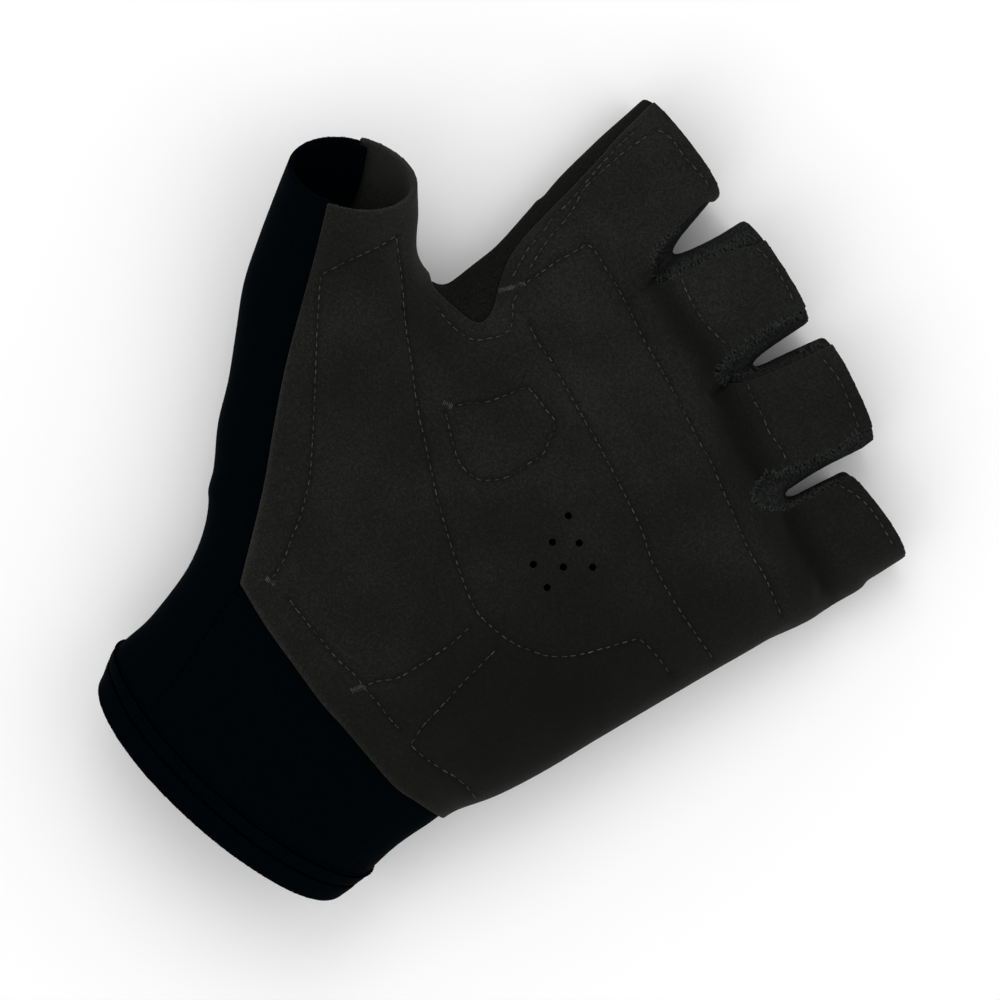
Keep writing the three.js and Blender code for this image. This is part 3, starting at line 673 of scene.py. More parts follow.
def fromPart(piece):
    # a piece's points in drawing millimetres
    flat = np.empty(len(piece.data.vertices) * 3, np.float32)
    piece.data.vertices.foreach_get("co", flat)
    return flat.reshape(-1, 3).astype(float) * 1000 + [drawing["originX"], drawing["originY"], 0]


def meshPiece(name, point, faces):
    mesh = bpy.data.meshes.new(name)
    mesh.from_pydata(toPart(point).tolist(), [], faces)
    mesh.shade_smooth()
    piece = bpy.data.objects.new(name, mesh)
    bpy.context.collection.objects.link(piece)
    return piece


def heightAt(top, x, y):
    # a plan map's value at any x and y, straight-line blended between its four corners
    u = np.clip((np.asarray(x) - gridX[0]) / cell, 0, top.shape[0] - 1.001)
    v = np.clip((np.asarray(y) - gridY[0]) / cell, 0, top.shape[1] - 1.001)
    i, j = u.astype(int), v.astype(int)
    f, g = u - i, v - j
    return (top[i, j] * (1 - f) * (1 - g) + top[i + 1, j] * f * (1 - g)
            + top[i, j + 1] * (1 - f) * g + top[i + 1, j + 1] * f * g)


def thinInside(piece, place, share):
    # fewer faces on the inner side and the underside first, where nothing fine shows, and then
    # wherever the cloth is flat
    fromVent = np.min([np.hypot(place[:, 0] - x, place[:, 1] - y) for x, y in vents], axis=0)
    inner = (fieldAt(deep, place) < -drawing["insideDepth"]) | (place[:, 2] < drawing["underside"])
    inner &= fromVent > drawing["ventClear"]
    print(piece.name, "thinned from", len(piece.data.polygons) * 2)
    group = piece.vertex_groups.new(name="inside")
    group.add(np.flatnonzero(inner).tolist(), 1.0, "REPLACE")
    first = max(share, 1 - drawing["insideThinning"] * inner.mean())
    for ratio, where in ((first, "inside"), (share / first, "")):
        thin = piece.modifiers.new("thin", "DECIMATE")
        thin.ratio = ratio
        thin.vertex_group = where
    rough = piece.data
    thinned = piece.evaluated_get(bpy.context.evaluated_depsgraph_get())
    piece.data = bpy.data.meshes.new_from_object(thinned)
    piece.modifiers.clear()
    piece.vertex_groups.clear()
    bpy.data.meshes.remove(rough)


def clothPiece(name, field, slotName, node):
    # the closed face of one cloth's field, netted only in the box that it fills
    touched = np.argwhere(field < cell * 2)
    low = np.maximum(touched.min(0) - 2, 0)
    high = touched.max(0) + 3
    part = field[low[0]:high[0], low[1]:high[1], low[2]:high[2]]
    point, faces = netSurface(part)
    point = settled(part, point)
    point = point + low
    place = np.stack([gridX[0] + point[:, 0] * cell, gridY[0] + point[:, 1] * cell,
                      gridZ[0] + point[:, 2] * cell], 1)
    piece = meshPiece(name, place, faces.tolist())
    piece.data.validate()
    if len(faces) * 2 > drawing["mostTriangles"]:
        thinInside(piece, place, drawing["mostTriangles"] / (len(faces) * 2))
        place = fromPart(piece)
    if slotName == "suede":
        # the suede's nap attribute: painted shade and painted highlight, with some uneven tone, that its
        # colour is made from
        tone = piece.data.attributes.new("paintedLightAndTone", "FLOAT", "POINT")
        tone.data.foreach_set("value", heightAt(paintedLightAndToneMap, place[:, 0], place[:, 1]).astype(np.float32))
    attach(piece, "root")
    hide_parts(node)
    print(name, len(piece.data.loops) - 2 * len(piece.data.polygons), "triangles")
    return piece


pastHem = hemEnd + form["hemWidth"]
full = 0 * hand
panelTop = np.maximum(aboveBack, -allWebs)
# the suede stops where the cuff seam meets the wrist edge
palmTip = {
    "x": -18.4,
    "y": -53.5,
    "lowest": -55.7,
}
palmTail = np.minimum(palmTip["y"] - planY, palmTip["x"] - planX)
palmTail = np.maximum(palmTail, palmTip["lowest"] - planY)[..., None]
zones = {
    "palm": np.maximum.reduce([panelTop, palmTail + full, -thumbSide, -wristZone + full,
                               -gussetZone + full, -middleZone + full, -ringZone + full]),
    "middle": np.maximum(panelTop, middleZone),
    "ring": np.maximum(panelTop, ringZone),
    "gusset": np.maximum.reduce([aboveBack + full, gussetZone + full, -thumbSide]),
    "wrist": np.maximum.reduce([aboveBack + full, wristZone + full, pastHem, -thumbSide]),
    "back": np.maximum(np.maximum(np.minimum(thumbSide, -aboveBack), pastHem), -allWebs),
    "hem": -pastHem,
}
for name, zone in webZones.items():
    zones[name] = zone + full
# which cloth lies over which: a higher number laps a lower one
order = {"back": 1, "gusset": 2, "wrist": 2, "index_middle": 2, "middle_ring": 2, "ring_little": 2,
         "palm": 3, "middle": 4, "ring": 4, "hem": 4}
byOrder = {n: np.minimum.reduce([zones[k] for k in zones if order[k] == n]) for n in (1, 2, 3, 4)}


def panel(name, outer, innerDepth, rounding):
    # The panel between its outer and inner face, inside its zone and behind the mouths. Along a
    # seam where another cloth lies over it, it is deeper and runs on below as an allowance.
    zone, rank, gap = zones[name], order[name], layers["seamGap"]
    above = [n for n in (1, 2, 3, 4) if n > rank]
    below = [n for n in (1, 2, 3, 4) if n < rank]
    over = np.minimum.reduce([byOrder[n] for n in above]) if above else full + farAway
    under = np.minimum.reduce([byOrder[n] for n in below]) if below else full + farAway
    thick = (over < layers["thickNear"]) & (under > layers["lapRun"] + layers["lapClear"])
    thick &= cut < -layers["thickFromMouth"]
    depth = np.where(thick, layers["lapIn"], innerDepth)
    main = smoothHigh(outer, np.maximum(zone + gap, cut), rounding)
    main = np.maximum(main, -(deep + depth))
    for n in above:
        lap = np.maximum.reduce([deep + layers["lapTop"], -(deep + layers["lapIn"]),
                                 zone - layers["lapRun"], byOrder[n] + gap,
                                 cut + layers["lapFromMouth"]])
        for k in above:
            if k < n:
                lap = np.maximum(lap, layers["lapRun"] + layers["lapApart"] - byOrder[k])
        main = np.minimum(main, lap)
    return np.maximum(main, floorSide)


# the hem band thins towards its rolled end and has a dip under its first row of stitches
hemLook = {
    "edgeRound": 0.9,
    "rollShare": 0.35,
    "rollAt": 1.0,
    "rollRun": 1.4,
    "dip": 0.4,
    "dipAt": 4.6,
    "dipRun": 0.45,
}
hemRun = -hemEnd    # distance in from the end of the sleeve
hemRoll = np.exp(-((hemRun - hemLook["rollAt"]) / hemLook["rollRun"]) ** 2)
hemRelief = form["hemOut"] * (1 - hemLook["rollShare"] * hemRoll)
hemRelief = hemRelief - hemLook["dip"] * np.exp(-((hemRun - hemLook["dipAt"]) / hemLook["dipRun"]) ** 2)
hemOuter = hand - layers["clothOut"] - hemRelief - clothRelief[..., None]

ventLook = {
    "radius": 0.8,
    "lowest": 20,
}
vents = [[11.4, 9.2], [13.7, 3.2], [17.3, 7.5], [14.9, -2.8], [19.2, 1.8], [23.0, 6.6], [20.5, -3.5]]
ventHoles = np.min([np.hypot(planX - x, planY - y) for x, y in vents], axis=0) - ventLook["radius"]
ventHoles = (-ventHoles)[..., None] - np.maximum(ventLook["lowest"] - gridZ, 0)[None, None, :]

edge = form["edgeRound"]
fields = {
    "palm": np.maximum(panel("palm", suedeOuter, layers["suedeIn"], edge), ventHoles),
    "middle": panel("middle", fingerOuter, layers["suedeIn"], edge),
    "ring": panel("ring", fingerOuter, layers["suedeIn"], edge),
    "back": panel("back", clothOuter, layers["clothIn"], edge),
    "wrist": panel("wrist", clothOuter, layers["clothIn"], edge),
    "hem": panel("hem", hemOuter, layers["clothIn"], hemLook["edgeRound"]),
    "gusset": panel("gusset", gussetOuter, layers["clothIn"], edge),
}
for name in webZones:
    fields[name] = panel(name, webOuter, layers["clothIn"], edge)
print("panels worked out")

pieceTable = {
    "palm": ("palm_suede", "suede", "palm_panel"),
    "middle": ("middle_finger_suede", "suede", "middle_finger_panel"),
    "ring": ("ring_finger_suede", "suede", "ring_finger_panel"),
    "back": ("back_lycra", "lycra", "back_panel"),
    "wrist": ("wrist_lycra", "lycra", "wrist_panel"),
    "hem": ("cuff_hem_band", "lycra", "cuff_hem"),
    "gusset": ("thumb_gusset", "ribbed_knit", "web_gusset"),
    "index_middle": ("side_strip_index_middle", "mesh_knit", "finger_web_index_middle"),
    "middle_ring": ("side_strip_middle_ring", "mesh_knit", "finger_web_middle_ring"),
    "ring_little": ("side_strip_ring_little", "mesh_knit", "finger_web_ring_little"),
}
# painted light in the suede's colour: painted shade in the stitched dips and the folds, a painted
# highlight along the cut edges; besides it, a patchy tone of the suede's own, paler towards the
# fingertips and darker towards the little finger's side
paintedLightAndToneLook = {
    "channel": 0.16,
    "channelRun": 0.55,
    "hem": 0.1,
    "hemRun": 0.5,
    "patchy": 0.1,
    "patchyLength": 24,
    "fingers": 0.07,
    "fingersRun": 40,
    "littleSide": 0.12,
    "littleSideRun": 50,
    "foldWidth": 1.2,
    "edgeHighlight": 0.2,
    "edgeHighlightRun": 0.7,
}
# x, y, radius, change of tone: painted shade on the heel of the palm, and painted light inside the thumb,
# which lightens its shaded inner wall
paintedLightSpots = [[42, -22, 24, -0.2], [-68.8, 23.9, 6.5, 0.34]]
# painted shade: the suede's colour darkened along the quilting rows and the hem rows, where shade falls
# in their stitched dips
paintedLightAndToneMap = (-paintedLightAndToneLook["channel"] * np.exp(-(channelDistance / paintedLightAndToneLook["channelRun"]) ** 2)
          - paintedLightAndToneLook["hem"] * np.exp(-(hemDistance / paintedLightAndToneLook["hemRun"]) ** 2))
paintedLightAndToneMap = paintedLightAndToneMap + paintedLightAndToneLook["patchy"] * softNoise(planX, planY, paintedLightAndToneLook["patchyLength"], seed=5)
# painted shade on the heel and painted light inside the thumb
for x, y, radius, tone in paintedLightSpots:
    paintedLightAndToneMap = paintedLightAndToneMap + tone * np.exp(-((planX - x) ** 2 + (planY - y) ** 2) / radius ** 2)
paintedLightAndToneMap = (paintedLightAndToneMap + paintedLightAndToneLook["fingers"] * np.clip(planY / paintedLightAndToneLook["fingersRun"], 0, 1)
          - paintedLightAndToneLook["littleSide"] * np.clip(planX / paintedLightAndToneLook["littleSideRun"], 0, 1))
# painted shade along each fold at the finger and thumb roots, where the real fold lies in shade
for points, width, _, shade in hollows.values():
    fromRun = lineDistance(splineRows(points, 6), planX, planY)
    paintedLightAndToneMap = paintedLightAndToneMap - shade * np.exp(-(fromRun / (paintedLightAndToneLook["foldWidth"] * width)) ** 2)
# painted highlight: the suede's colour made paler within a millimetre of its edges, where its pile
# catches the light as it curves away
suedeEdge = np.minimum(lineDistance(topRun, planX, planY), lineDistance(wristRun, planX, planY))
paintedLightAndToneMap = paintedLightAndToneMap + paintedLightAndToneLook["edgeHighlight"] * np.exp(-(suedeEdge / paintedLightAndToneLook["edgeHighlightRun"]) ** 2)
paintedLightAndToneMap = paintedLightAndToneMap.astype(np.float32)

pieces = {name: clothPiece(entry[0], fields[name], *entry[1:]) for name, entry in pieceTable.items()}


def topOf(field):
    # height of the outer face over the plan grid: the last grid step that is inside, carried
    # on in a straight line to where the distance is nought
    inside = field < 0
    last = inside.shape[2] - 1 - np.argmax(inside[:, :, ::-1], axis=2)
    last = np.clip(last, 0, inside.shape[2] - 2)
    i, j = np.indices(last.shape)
    a, b = field[i, j, last], field[i, j, last + 1]
    height = gridZ[last] + cell * a / np.where(a == b, 1, a - b)
    return np.where(inside.any(axis=2), height, 0).astype(np.float32)


gloveTop = topOf(np.minimum.reduce(list(fields.values())))
print("outer heights")


def evenRun(points, spacing, perGap=8):
    # a run's curve with its length at each point, and how many stitches fit on it
    curve = splineRows(points, perGap)
    length = np.concatenate([[0], np.cumsum(np.linalg.norm(np.diff(curve, axis=0), axis=1))])
    return curve, length, max(int(length[-1] / spacing), 1)


def threadDashes(middle, over, radius, lift, sink, sides=6):
    # Each stitch follows its middle line; t runs 0..1 along it and a round section turns through v.
    # It stands at lift over the cloth halfway and dips by sink at its ends:
    # rise = lift - (lift + sink)(2t-1)^2. Its radius narrows as the root of 1 - 0.85 |2t-1|^3.
    count, stations = middle.shape[:2]
    t = np.linspace(0, 1, stations)
    v = np.linspace(0, 2 * np.pi, sides, endpoint=False)
    along = middle[:, -1] - middle[:, 0]
    along /= np.linalg.norm(along, axis=1, keepdims=True)
    side = np.cross(over, along)
    side /= np.linalg.norm(side, axis=1, keepdims=True)
    over = np.cross(along, side)
    middle = middle + (lift - (lift + sink) * (2 * t - 1) ** 2)[None, :, None] * over[:, None]
    girth = radius * np.sqrt(np.clip(1 - 0.85 * np.abs(2 * t - 1) ** 3, 0.02, 1))
    ring = (np.cos(v)[None, None, :, None] * side[:, None, None, :]
            + np.sin(v)[None, None, :, None] * over[:, None, None, :])
    point = middle[:, :, None, :] + np.atleast_1d(girth)[None, :, None, None] * ring
    grid = np.arange(count * stations * sides).reshape(count, stations, sides)
    a, b = grid[:, :-1], grid[:, 1:]
    quads = np.stack([a, np.roll(a, -1, 2), np.roll(b, -1, 2), b], 3).reshape(-1, 4)
    return point.reshape(-1, 3), quads.tolist() + grid[:, 0, ::-1].tolist() + grid[:, -1].tolist()


def laidOn(start, end, radius, lift, sink, stations=5):
    # stitches given by their ends in plan, laid on the glove's upper face; one that would drop
    # off an edge is left out
    t = np.linspace(0, 1, stations)
    x = start[:, None, 0] + (end - start)[:, None, 0] * t
    y = start[:, None, 1] + (end - start)[:, None, 1] * t
    height = heightAt(gloveTop, x, y)
    held = np.abs(np.diff(height, axis=1)).max(axis=1) < drawing["steepest"]
    middle = np.stack([x, y, height], 2)[held]
    over = np.tile([0.0, 0.0, 1.0], (len(middle), 1))
    return threadDashes(middle, over, radius, lift, sink)


def stitchedRun(points, spacing, length, seed, sideways=0.07, lengthways=0.1, reach=(0.38, 0.54)):
    # start and end of each stitch on a run; real rows wander a little, and their lengths differ
    curve, run, count = evenRun(points, spacing)
    rng = np.random.default_rng(seed)
    centre = (np.arange(count) + 0.5) * run[-1] / count + rng.uniform(-lengthways, lengthways, count)
    half = length * rng.uniform(*reach, count)
    at = [np.stack([np.interp(centre + k * half, run, curve[:, 0]),
                    np.interp(centre + k * half, run, curve[:, 1])], 1) for k in (-1, 1)]
    along = at[1] - at[0]
    normal = np.stack([-along[:, 1], along[:, 0]], 1) / np.linalg.norm(along, axis=1, keepdims=True)
    return at[0] + normal * rng.uniform(-sideways, sideways, (count, 1)), \
        at[1] + normal * rng.uniform(-sideways, sideways, (count, 1))


def threadPiece(name, parts):
    # all the stitches of one thread as one piece
    points, faces, total = [], [], 0
    for point, face in parts:
        points.append(point)
        faces += [[n + total for n in f] for f in face]
        total += len(point)
    piece = meshPiece(name, np.vstack(points), faces)
    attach(piece, "root")
    print(name, len(faces), "faces")
    return piece


stitchLook = {
    "pitch": 1.9,
    "length": 1.75,
    "radius": 0.14,
    "lift": 0.07,
    "sink": 0.11,
}
# bartacks: close stitches across a short line
tackLook = {
    "pitch": 0.34,
    "reach": (0.4, 0.75),
    "slant": 0.12,
    "radius": 0.15,
    "lift": 0.16,
    "sink": 0.05,
}
greyParts = []
for number, points in enumerate(stitchRuns.values()):
    start, end = stitchedRun(points, stitchLook["pitch"], stitchLook["length"], number)
    greyParts.append(laidOn(start, end, stitchLook["radius"], stitchLook["lift"], stitchLook["sink"]))
for points in tackRuns.values():
    curve, run, count = evenRun(points, tackLook["pitch"])
    along = (curve[-1] - curve[0]) / np.linalg.norm(curve[-1] - curve[0])
    across = np.array([-along[1], along[0]])
    centre = curve[0] + along * (np.arange(count)[:, None] + 0.5) * run[-1] / count
    reach = across * np.random.default_rng(count).uniform(*tackLook["reach"], (count, 1))
    greyParts.append(laidOn(centre - reach + along * tackLook["slant"], centre + reach,
                            tackLook["radius"], tackLook["lift"], tackLook["sink"]))
greyThread = threadPiece("grey_stitching", greyParts)

# Overlock yarn that binds the side strips to the suede: run, then width of the braid.
overlockLook = {
    "pitch": 0.84,
    "radius": 0.34,
    "slant": 1.3,
    "slantShare": (0.1, 0.8),
    "halfShare": (0.8, 1.2),
    "wander": 0.2,
    "lift": 0.22,
    "sink": 0.16,
}
overlockRuns = {
    "index_middle_a": ([[-21.7, 65.4], [-21.6, 62.3], [-21.1, 59.3], [-20.1, 56.8], [-18.6, 55.3],
                        [-16.8, 54.9], [-15.6, 55.6]], 2.0),
    "index_middle_b": ([[-15.2, 56.2], [-15.4, 58.4], [-14.8, 60.9], [-14.2, 63.4], [-13.6, 65.9],
                        [-13, 68.4], [-12.4, 71], [-11.8, 73.5], [-11.2, 75.7]], 3.1),
    "middle_ring_a": ([[8.4, 74.6], [7.6, 71.6], [7, 68], [6.5, 63.7], [6.5, 59.6], [6.3, 56.1],
                       [6.7, 53.7], [8.2, 52.3], [10.1, 53.1]], 2.6),
    "middle_ring_b": ([[10.1, 55], [11, 57.7], [11.9, 61], [13.1, 64.8], [14.3, 69], [15.6, 73.1]], 1.4),
    "ring_little_a": ([[35.4, 68], [35.5, 63.8], [35.1, 60], [34.1, 56.1], [32.9, 52.3], [31.8, 49.1],
                       [30.4, 47.6]], 2.4),
    "ring_little_b": ([[30.4, 47.3], [30.6, 44.9], [31.7, 42.7], [34.5, 42.3], [37, 44.5], [38.4, 47.6],
                       [39.2, 51.3], [39.8, 55.6], [40.5, 58.7]], 1.5),
}
yarnParts = []
for number, (points, width) in enumerate(overlockRuns.values()):
    # slanting yarns side by side, each second one crossing the other way underneath
    curve, run, count = evenRun(points, overlockLook["pitch"] / 2)
    rng = np.random.default_rng(40 + number)
    wander = overlockLook["wander"]
    place = (np.arange(count) + 0.5) * run[-1] / count + rng.uniform(-wander, wander, count)
    x, y = np.interp(place, run, curve[:, 0]), np.interp(place, run, curve[:, 1])
    tangent = np.gradient(np.stack([x, y], 1), axis=0)
    tangent /= np.linalg.norm(tangent, axis=1, keepdims=True)
    normal = np.stack([-tangent[:, 1], tangent[:, 0]], 1)
    turn = np.where(np.arange(count) % 2, 1, -1)[:, None]
    centre = np.stack([x, y], 1) + normal * rng.uniform(-wander, wander, (count, 1))
    half = width / 2 * rng.uniform(*overlockLook["halfShare"], (count, 1))
    slant = overlockLook["slant"] * rng.uniform(*overlockLook["slantShare"], (count, 1))
    yarnParts.append(laidOn(centre - normal * half * turn - tangent * slant,
                            centre + normal * half * turn + tangent * slant,
                            overlockLook["radius"], overlockLook["lift"], overlockLook["sink"]))
yarn = threadPiece("overlock_yarn", yarnParts)

# The cuff: rows of black stitches round the hem, and a dotted row down the long seam.
cuffLook = {
    "rows": (4.6, 7.7),
    "pitch": 1.15,
    "length": 1.3,
    "radius": 0.24,
    "lift": 0.09,
    "sink": 0.1,
    "wander": 0.05,
}
seamDots = {
    "pitch": 1.6,
    "length": 0.7,
    "radius": 0.15,
    "lift": 0.08,
    "sink": 0.1,
}


def ringRound(run, field, steps=180):
    # A loop on the cloth at one distance in from the hem. Rays leave the sleeve's middle in the
    # hem's own leaning plane, and each stops where the field first turns outside.
    row = np.array(bodyRows[1])
    across = row[2:4] - row[0:2]
    across = across / np.linalg.norm(across)
    ahead = np.array([-across[1], across[0]])
    lean = math.radians(-form["hemLean"])
    inward = np.array([ahead[0] * math.cos(lean), ahead[1] * math.cos(lean), -math.sin(lean)])
    rise = np.array([ahead[0] * math.sin(lean), ahead[1] * math.sin(lean), math.cos(lean)])
    centre = np.array([(row[0] + row[2]) / 2, (row[1] + row[3]) / 2, row[4]]) + inward * run
    angle = np.linspace(0, 2 * np.pi, steps, endpoint=False)
    ray = np.cos(angle)[:, None] * np.append(across, 0) + np.sin(angle)[:, None] * rise
    reach = np.linspace(4, 44, 400)
    along = (centre + ray[:, None] * reach[None, :, None]).reshape(-1, 3)
    value = fieldAt(field, along).reshape(steps, -1)
    out = np.argmax(value > 0, axis=1)
    a, b = value[np.arange(steps), out - 1], value[np.arange(steps), out]
    length = reach[out - 1] + (reach[1] - reach[0]) * a / (a - b)
    return centre + ray * length[:, None], ray


def roundStitches(loop, ray, look, seed):
    # stitches spaced evenly along a closed loop, standing out along its rays
    closed = np.vstack([loop, loop[:1]])
    run = np.concatenate([[0], np.cumsum(np.linalg.norm(np.diff(closed, axis=0), axis=1))])
    count = int(run[-1] / look["pitch"])
    rng = np.random.default_rng(seed)
    centre = np.arange(count) * run[-1] / count + rng.uniform(-look["wander"], look["wander"], count)
    t = np.linspace(-0.5, 0.5, 5)
    at = (centre[:, None] + look["length"] * t) % run[-1]
    middle = np.stack([np.interp(at, run, closed[:, k]) for k in range(3)], 2)
    rays = np.vstack([ray, ray[:1]])
    over = np.stack([np.interp(centre % run[-1], run, rays[:, k]) for k in range(3)], 1)
    return threadDashes(middle, over, look["radius"], look["lift"], look["sink"])


blackParts = []
for number, run in enumerate(cuffLook["rows"]):
    loop, ray = ringRound(run, hemOuter)
    blackParts.append(roundStitches(loop, ray, cuffLook, 60 + number))
start, end = stitchedRun(seams["cuffSeam"][:-1], seamDots["pitch"], seamDots["length"], 70)
blackParts.append(laidOn(start, end, seamDots["radius"], seamDots["lift"], seamDots["sink"]))
blackThread = threadPiece("black_stitching", blackParts)


def finish(piece, material):
    piece.data.materials.clear()
    piece.data.materials.append(material)


def paint(hexColour):
    # sRGB hex to the linear colour that a shader socket takes
    channels = [int(hexColour[i:i + 2], 16) / 255 for i in (1, 3, 5)]
    return [c / 12.92 if c <= 0.04045 else ((c + 0.055) / 1.055) ** 2.4 for c in channels] + [1]


def addNode(tree, kind, inputs=None, **settings):
    # one shader node: an input is a value, or the socket that it is linked to
    node = tree.nodes.new("ShaderNode" + kind)
    for key, value in settings.items():
        setattr(node, key, value)
    for key, value in (inputs or {}).items():
        if isinstance(value, bpy.types.NodeSocket):
            tree.links.new(value, node.inputs[key])
        else:
            node.inputs[key].default_value = value
    return node


def scaleFor(size):
    # a noise texture's scale for cells of this size in millimetres
    return 1000 / size


def newFinish(name):
    material = bpy.data.materials.new(name)
    material.use_nodes = True
    tree = material.node_tree
    shader = tree.nodes["Principled BSDF"]
    place = addNode(tree, "TexCoord").outputs["Object"]
    return material, tree, shader, place


# Microfibre suede, brushed: matt and charcoal, its short pile mottled paler and darker, with painted
# shade and painted highlight added from the nap attribute. Sizes are in millimetres. A real fibre is
# about 0.02 mm, too fine to show, so it is drawn at 0.263.
suedeLook = {
    "dark": "#10100f",
    "mid": "#171715",
    "pale": "#2b2b28",
    "fibre": 0.263,
    "tuft": 0.667,
    "blotch": 8.33,
    "tuftShare": 0.4,    # weight beside the fibres' 1
    "blotchShare": 0.14,
    "darkAt": 0.24,    # where the three tones lie on the mixed pattern
    "midAt": 0.38,
    "paleAt": 0.56,
    "bump": 0.5,
    "napHeight": 0.25,
    "rough": 0.95,
    "sheen": 0.05,
    "sheenRough": 0.5,
    "gloss": 0.03,
}


def suedeFinish(name, look):
    # short pile: fine fibres over small tufts over slow blotches, with the nap attribute added on top,
    # which paints shade in the dips and folds and a highlight along the cut edges
    material, tree, shader, place = newFinish(name)
    fibre = addNode(tree, "TexNoise", {"Vector": place, "Scale": scaleFor(look["fibre"]),
                                       "Detail": 3.0, "Roughness": 0.7})
    tuft = addNode(tree, "TexNoise", {"Vector": place, "Scale": scaleFor(look["tuft"]),
                                      "Detail": 2.0})
    blotch = addNode(tree, "TexNoise", {"Vector": place, "Scale": scaleFor(look["blotch"]),
                                        "Detail": 2.0})
    mix = addNode(tree, "Math", {0: tuft.outputs[0], 1: look["tuftShare"], 2: fibre.outputs[0]},
                  operation="MULTIPLY_ADD")
    mix = addNode(tree, "Math", {0: blotch.outputs[0], 1: look["blotchShare"], 2: mix.outputs[0]},
                  operation="MULTIPLY_ADD")
    # the nap attribute brings painted shade and painted highlight, and some uneven tone, into the colour
    paintedLightAndTone = addNode(tree, "Attribute", attribute_name="paintedLightAndTone")
    mix = addNode(tree, "Math", {0: mix.outputs[0], 1: paintedLightAndTone.outputs["Fac"]}, operation="ADD")
    ramp = addNode(tree, "ValToRGB", {"Fac": addNode(tree, "Math", {0: mix.outputs[0], 1: 0.5},
                                                     operation="MULTIPLY").outputs[0]})
    ramp.color_ramp.elements[0].position = look["darkAt"]
    ramp.color_ramp.elements[0].color = paint(look["dark"])
    ramp.color_ramp.elements[1].position = look["paleAt"]
    ramp.color_ramp.elements[1].color = paint(look["pale"])
    ramp.color_ramp.elements.new(look["midAt"]).color = paint(look["mid"])
    tree.links.new(ramp.outputs[0], shader.inputs["Base Color"])
    bump = addNode(tree, "Bump", {"Height": mix.outputs[0], "Strength": look["bump"],
                                  "Distance": look["napHeight"] / 1000})
    tree.links.new(bump.outputs[0], shader.inputs["Normal"])
    shader.inputs["Roughness"].default_value = look["rough"]
    shader.inputs["Sheen Weight"].default_value = look["sheen"]
    shader.inputs["Sheen Roughness"].default_value = look["sheenRough"]
    shader.inputs["Specular IOR Level"].default_value = look["gloss"]
    return material


# Knitted lycra, ribbed and open knits and polyester threads: matt yarns whose loops break up the
# light. rib, fleck and loop are millimetres: the pitch of the ribs, about that of the yarns, the
# size of the flecks and the height of a loop. A real thread's twist is finer than 0.35, which is
# the least that shows.
clothLooks = {
    "black_stretch_lycra": {"dark": "#000204", "pale": "#010508", "rib": 0.449, "fleck": 0.667,
                            "turn": 0.6, "share": 0.3, "rough": 0.8, "bump": 0.15, "gloss": 0.01},
    "ribbed_gusset_knit": {"dark": "#0b0b0a", "pale": "#1d1d1b", "rib": 0.507, "fleck": 0.455,
                           "turn": 0.5, "share": 0.2, "rough": 0.9, "bump": 0.3, "gloss": 0.03},
    "open_side_knit": {"dark": "#131413", "pale": "#2e2f2f", "rib": 0.507, "fleck": 0.588,
                       "turn": 0.9, "share": 0.08, "rough": 0.9, "bump": 0.5, "gloss": 0.03},
    "grey_polyester_thread": {"dark": "#1f1f1e", "pale": "#545452", "rib": 0.349, "fleck": 1.43,
                              "turn": 0.8, "share": 0.2, "rough": 0.7, "bump": 0.3, "gloss": 0.05},
    "grey_overlock_yarn": {"dark": "#151616", "pale": "#343535", "rib": 0.349, "fleck": 0.556,
                           "turn": 0.8, "share": 0.2, "rough": 0.85, "bump": 0.4, "gloss": 0.03},
    "black_polyester_thread": {"dark": "#000000", "pale": "#000001", "rib": 0.349, "fleck": 2.0,
                               "turn": 0.8, "share": 0.2, "rough": 0.7, "bump": 0.3, "gloss": 0.0},
}
clothShared = {
    "darkAt": 0.4,
    "paleAt": 0.95,
    "loop": 0.1,
}


def clothFinish(name, look):
    # knit ribs as a slanting wave, and flecks of two tones in the yarn
    material, tree, shader, place = newFinish(name)
    turned = addNode(tree, "Mapping", {"Vector": place, "Rotation": (0, look["turn"], 0)})
    # a wave texture of scale 1 repeats every pi / 10
    rib = addNode(tree, "TexWave", {"Vector": turned.outputs[0], "Distortion": 1.2, "Detail": 1.0,
                                    "Scale": scaleFor(look["rib"]) * math.pi / 10})
    fleck = addNode(tree, "TexNoise", {"Vector": place, "Scale": scaleFor(look["fleck"]),
                                       "Detail": 2.0})
    mix = addNode(tree, "Math", {0: rib.outputs["Fac"], 1: look["share"], 2: fleck.outputs[0]},
                  operation="MULTIPLY_ADD")
    ramp = addNode(tree, "ValToRGB", {"Fac": mix.outputs[0]})
    ramp.color_ramp.elements[0].position = clothShared["darkAt"]
    ramp.color_ramp.elements[0].color = paint(look["dark"])
    ramp.color_ramp.elements[1].position = clothShared["paleAt"]
    ramp.color_ramp.elements[1].color = paint(look["pale"])
    tree.links.new(ramp.outputs[0], shader.inputs["Base Color"])
    bump = addNode(tree, "Bump", {"Height": mix.outputs[0], "Strength": look["bump"],
                                  "Distance": clothShared["loop"] / 1000})
    tree.links.new(bump.outputs[0], shader.inputs["Normal"])
    shader.inputs["Roughness"].default_value = look["rough"]
    shader.inputs["Specular IOR Level"].default_value = look["gloss"]
    return material


cloths = {name: clothFinish(name, look) for name, look in clothLooks.items()}
finishTable = {"suede": suedeFinish("charcoal_microfibre_suede", suedeLook),
               "lycra": cloths["black_stretch_lycra"], "ribbed_knit": cloths["ribbed_gusset_knit"],
               "mesh_knit": cloths["open_side_knit"]}
for name, piece in pieces.items():
    finish(piece, finishTable[pieceTable[name][1]])
finish(greyThread, cloths["grey_polyester_thread"])
finish(yarn, cloths["grey_overlock_yarn"])
finish(blackThread, cloths["black_polyester_thread"])
print("finishes")

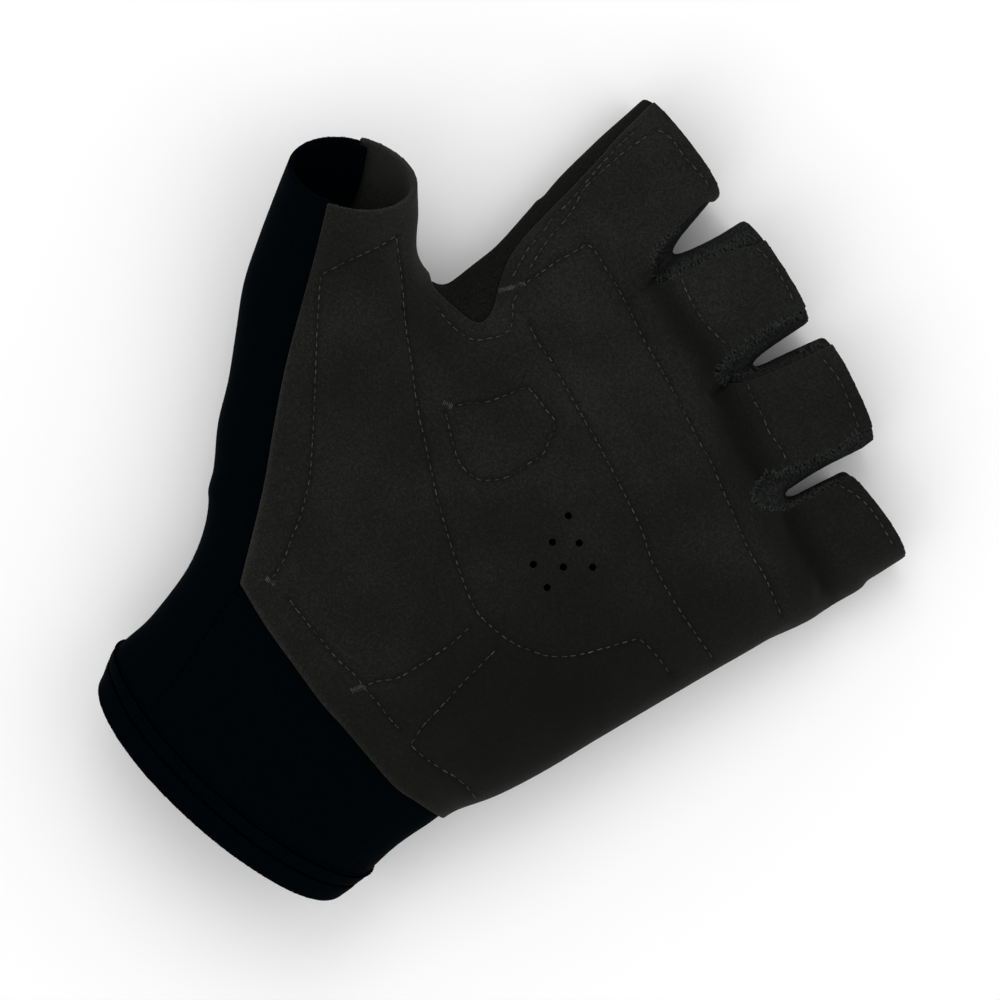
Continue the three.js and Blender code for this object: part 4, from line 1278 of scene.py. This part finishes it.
# straight above the palm, turned so that the hand points up to the right as in the photo
view = {
    "distance": 3.0,
    "rightX": 0.616,
    "rightY": 0.788,
    "sensor": 36,
    "aimX": 0.0116,
    "aimY": 0.00854,
    "aimZ": 0.015,
    "frame": 0.21,
}
camera = bpy.data.objects.new("camera", bpy.data.cameras.new("camera"))
bpy.context.collection.objects.link(camera)
camera.data.sensor_width = view["sensor"]
camera.data.lens = view["sensor"] * view["distance"] / view["frame"]
camera.data.clip_end = 20
right = Vector((view["rightX"], view["rightY"], 0)).normalized()
up = Vector((-view["rightY"], view["rightX"], 0)).normalized()
turn = Matrix((right, up, Vector((0, 0, 1)))).transposed().to_4x4()
place = Matrix.Translation((view["aimX"], view["aimY"], view["aimZ"] + view["distance"]))
camera.matrix_world = place @ turn
bpy.context.scene.camera = camera
bpy.context.scene.view_settings.view_transform = "Standard"

# the room's own even light, then each lamp's position, size in metres and watts
roomLight = 0.78
lights = {
    "key": ((-0.9, 0.5, 1.5), 1.1, 5.9),
    "fill": ((0.9, 0.6, 1.5), 1.3, 3.1),
    "low": ((0.2, -1.2, 1.3), 1.3, 2.9),
}
for name, (place, size, power) in lights.items():
    lamp = bpy.data.objects.new(name + "_light", bpy.data.lights.new(name + "_light", "AREA"))
    bpy.context.collection.objects.link(lamp)
    lamp.data.size = size
    lamp.data.energy = power
    lamp.location = place
    lamp.rotation_euler = (Vector((0, 0, 0)) - Vector(place)).to_track_quat("-Z", "Y").to_euler()
world = bpy.data.worlds.new("soft_room")
world.use_nodes = True
world.node_tree.nodes["Background"].inputs["Color"].default_value = (1, 1, 1, 1)
world.node_tree.nodes["Background"].inputs["Strength"].default_value = roomLight
bpy.context.scene.world = world

floorMesh = bpy.data.meshes.new("floor")
floorMesh.from_pydata([(-3, -3, 0), (3, -3, 0), (3, 3, 0), (-3, 3, 0)], [], [(0, 1, 2, 3)])
floor = bpy.data.objects.new("floor", floorMesh)
bpy.context.collection.objects.link(floor)
floorFinish = bpy.data.materials.new("pale_floor")
floorFinish.use_nodes = True
floorFinish.node_tree.nodes["Principled BSDF"].inputs["Base Color"].default_value = paint("#ffffff")
floorFinish.node_tree.nodes["Principled BSDF"].inputs["Roughness"].default_value = 0.9
finish(floor, floorFinish)
print("camera, lights and floor")
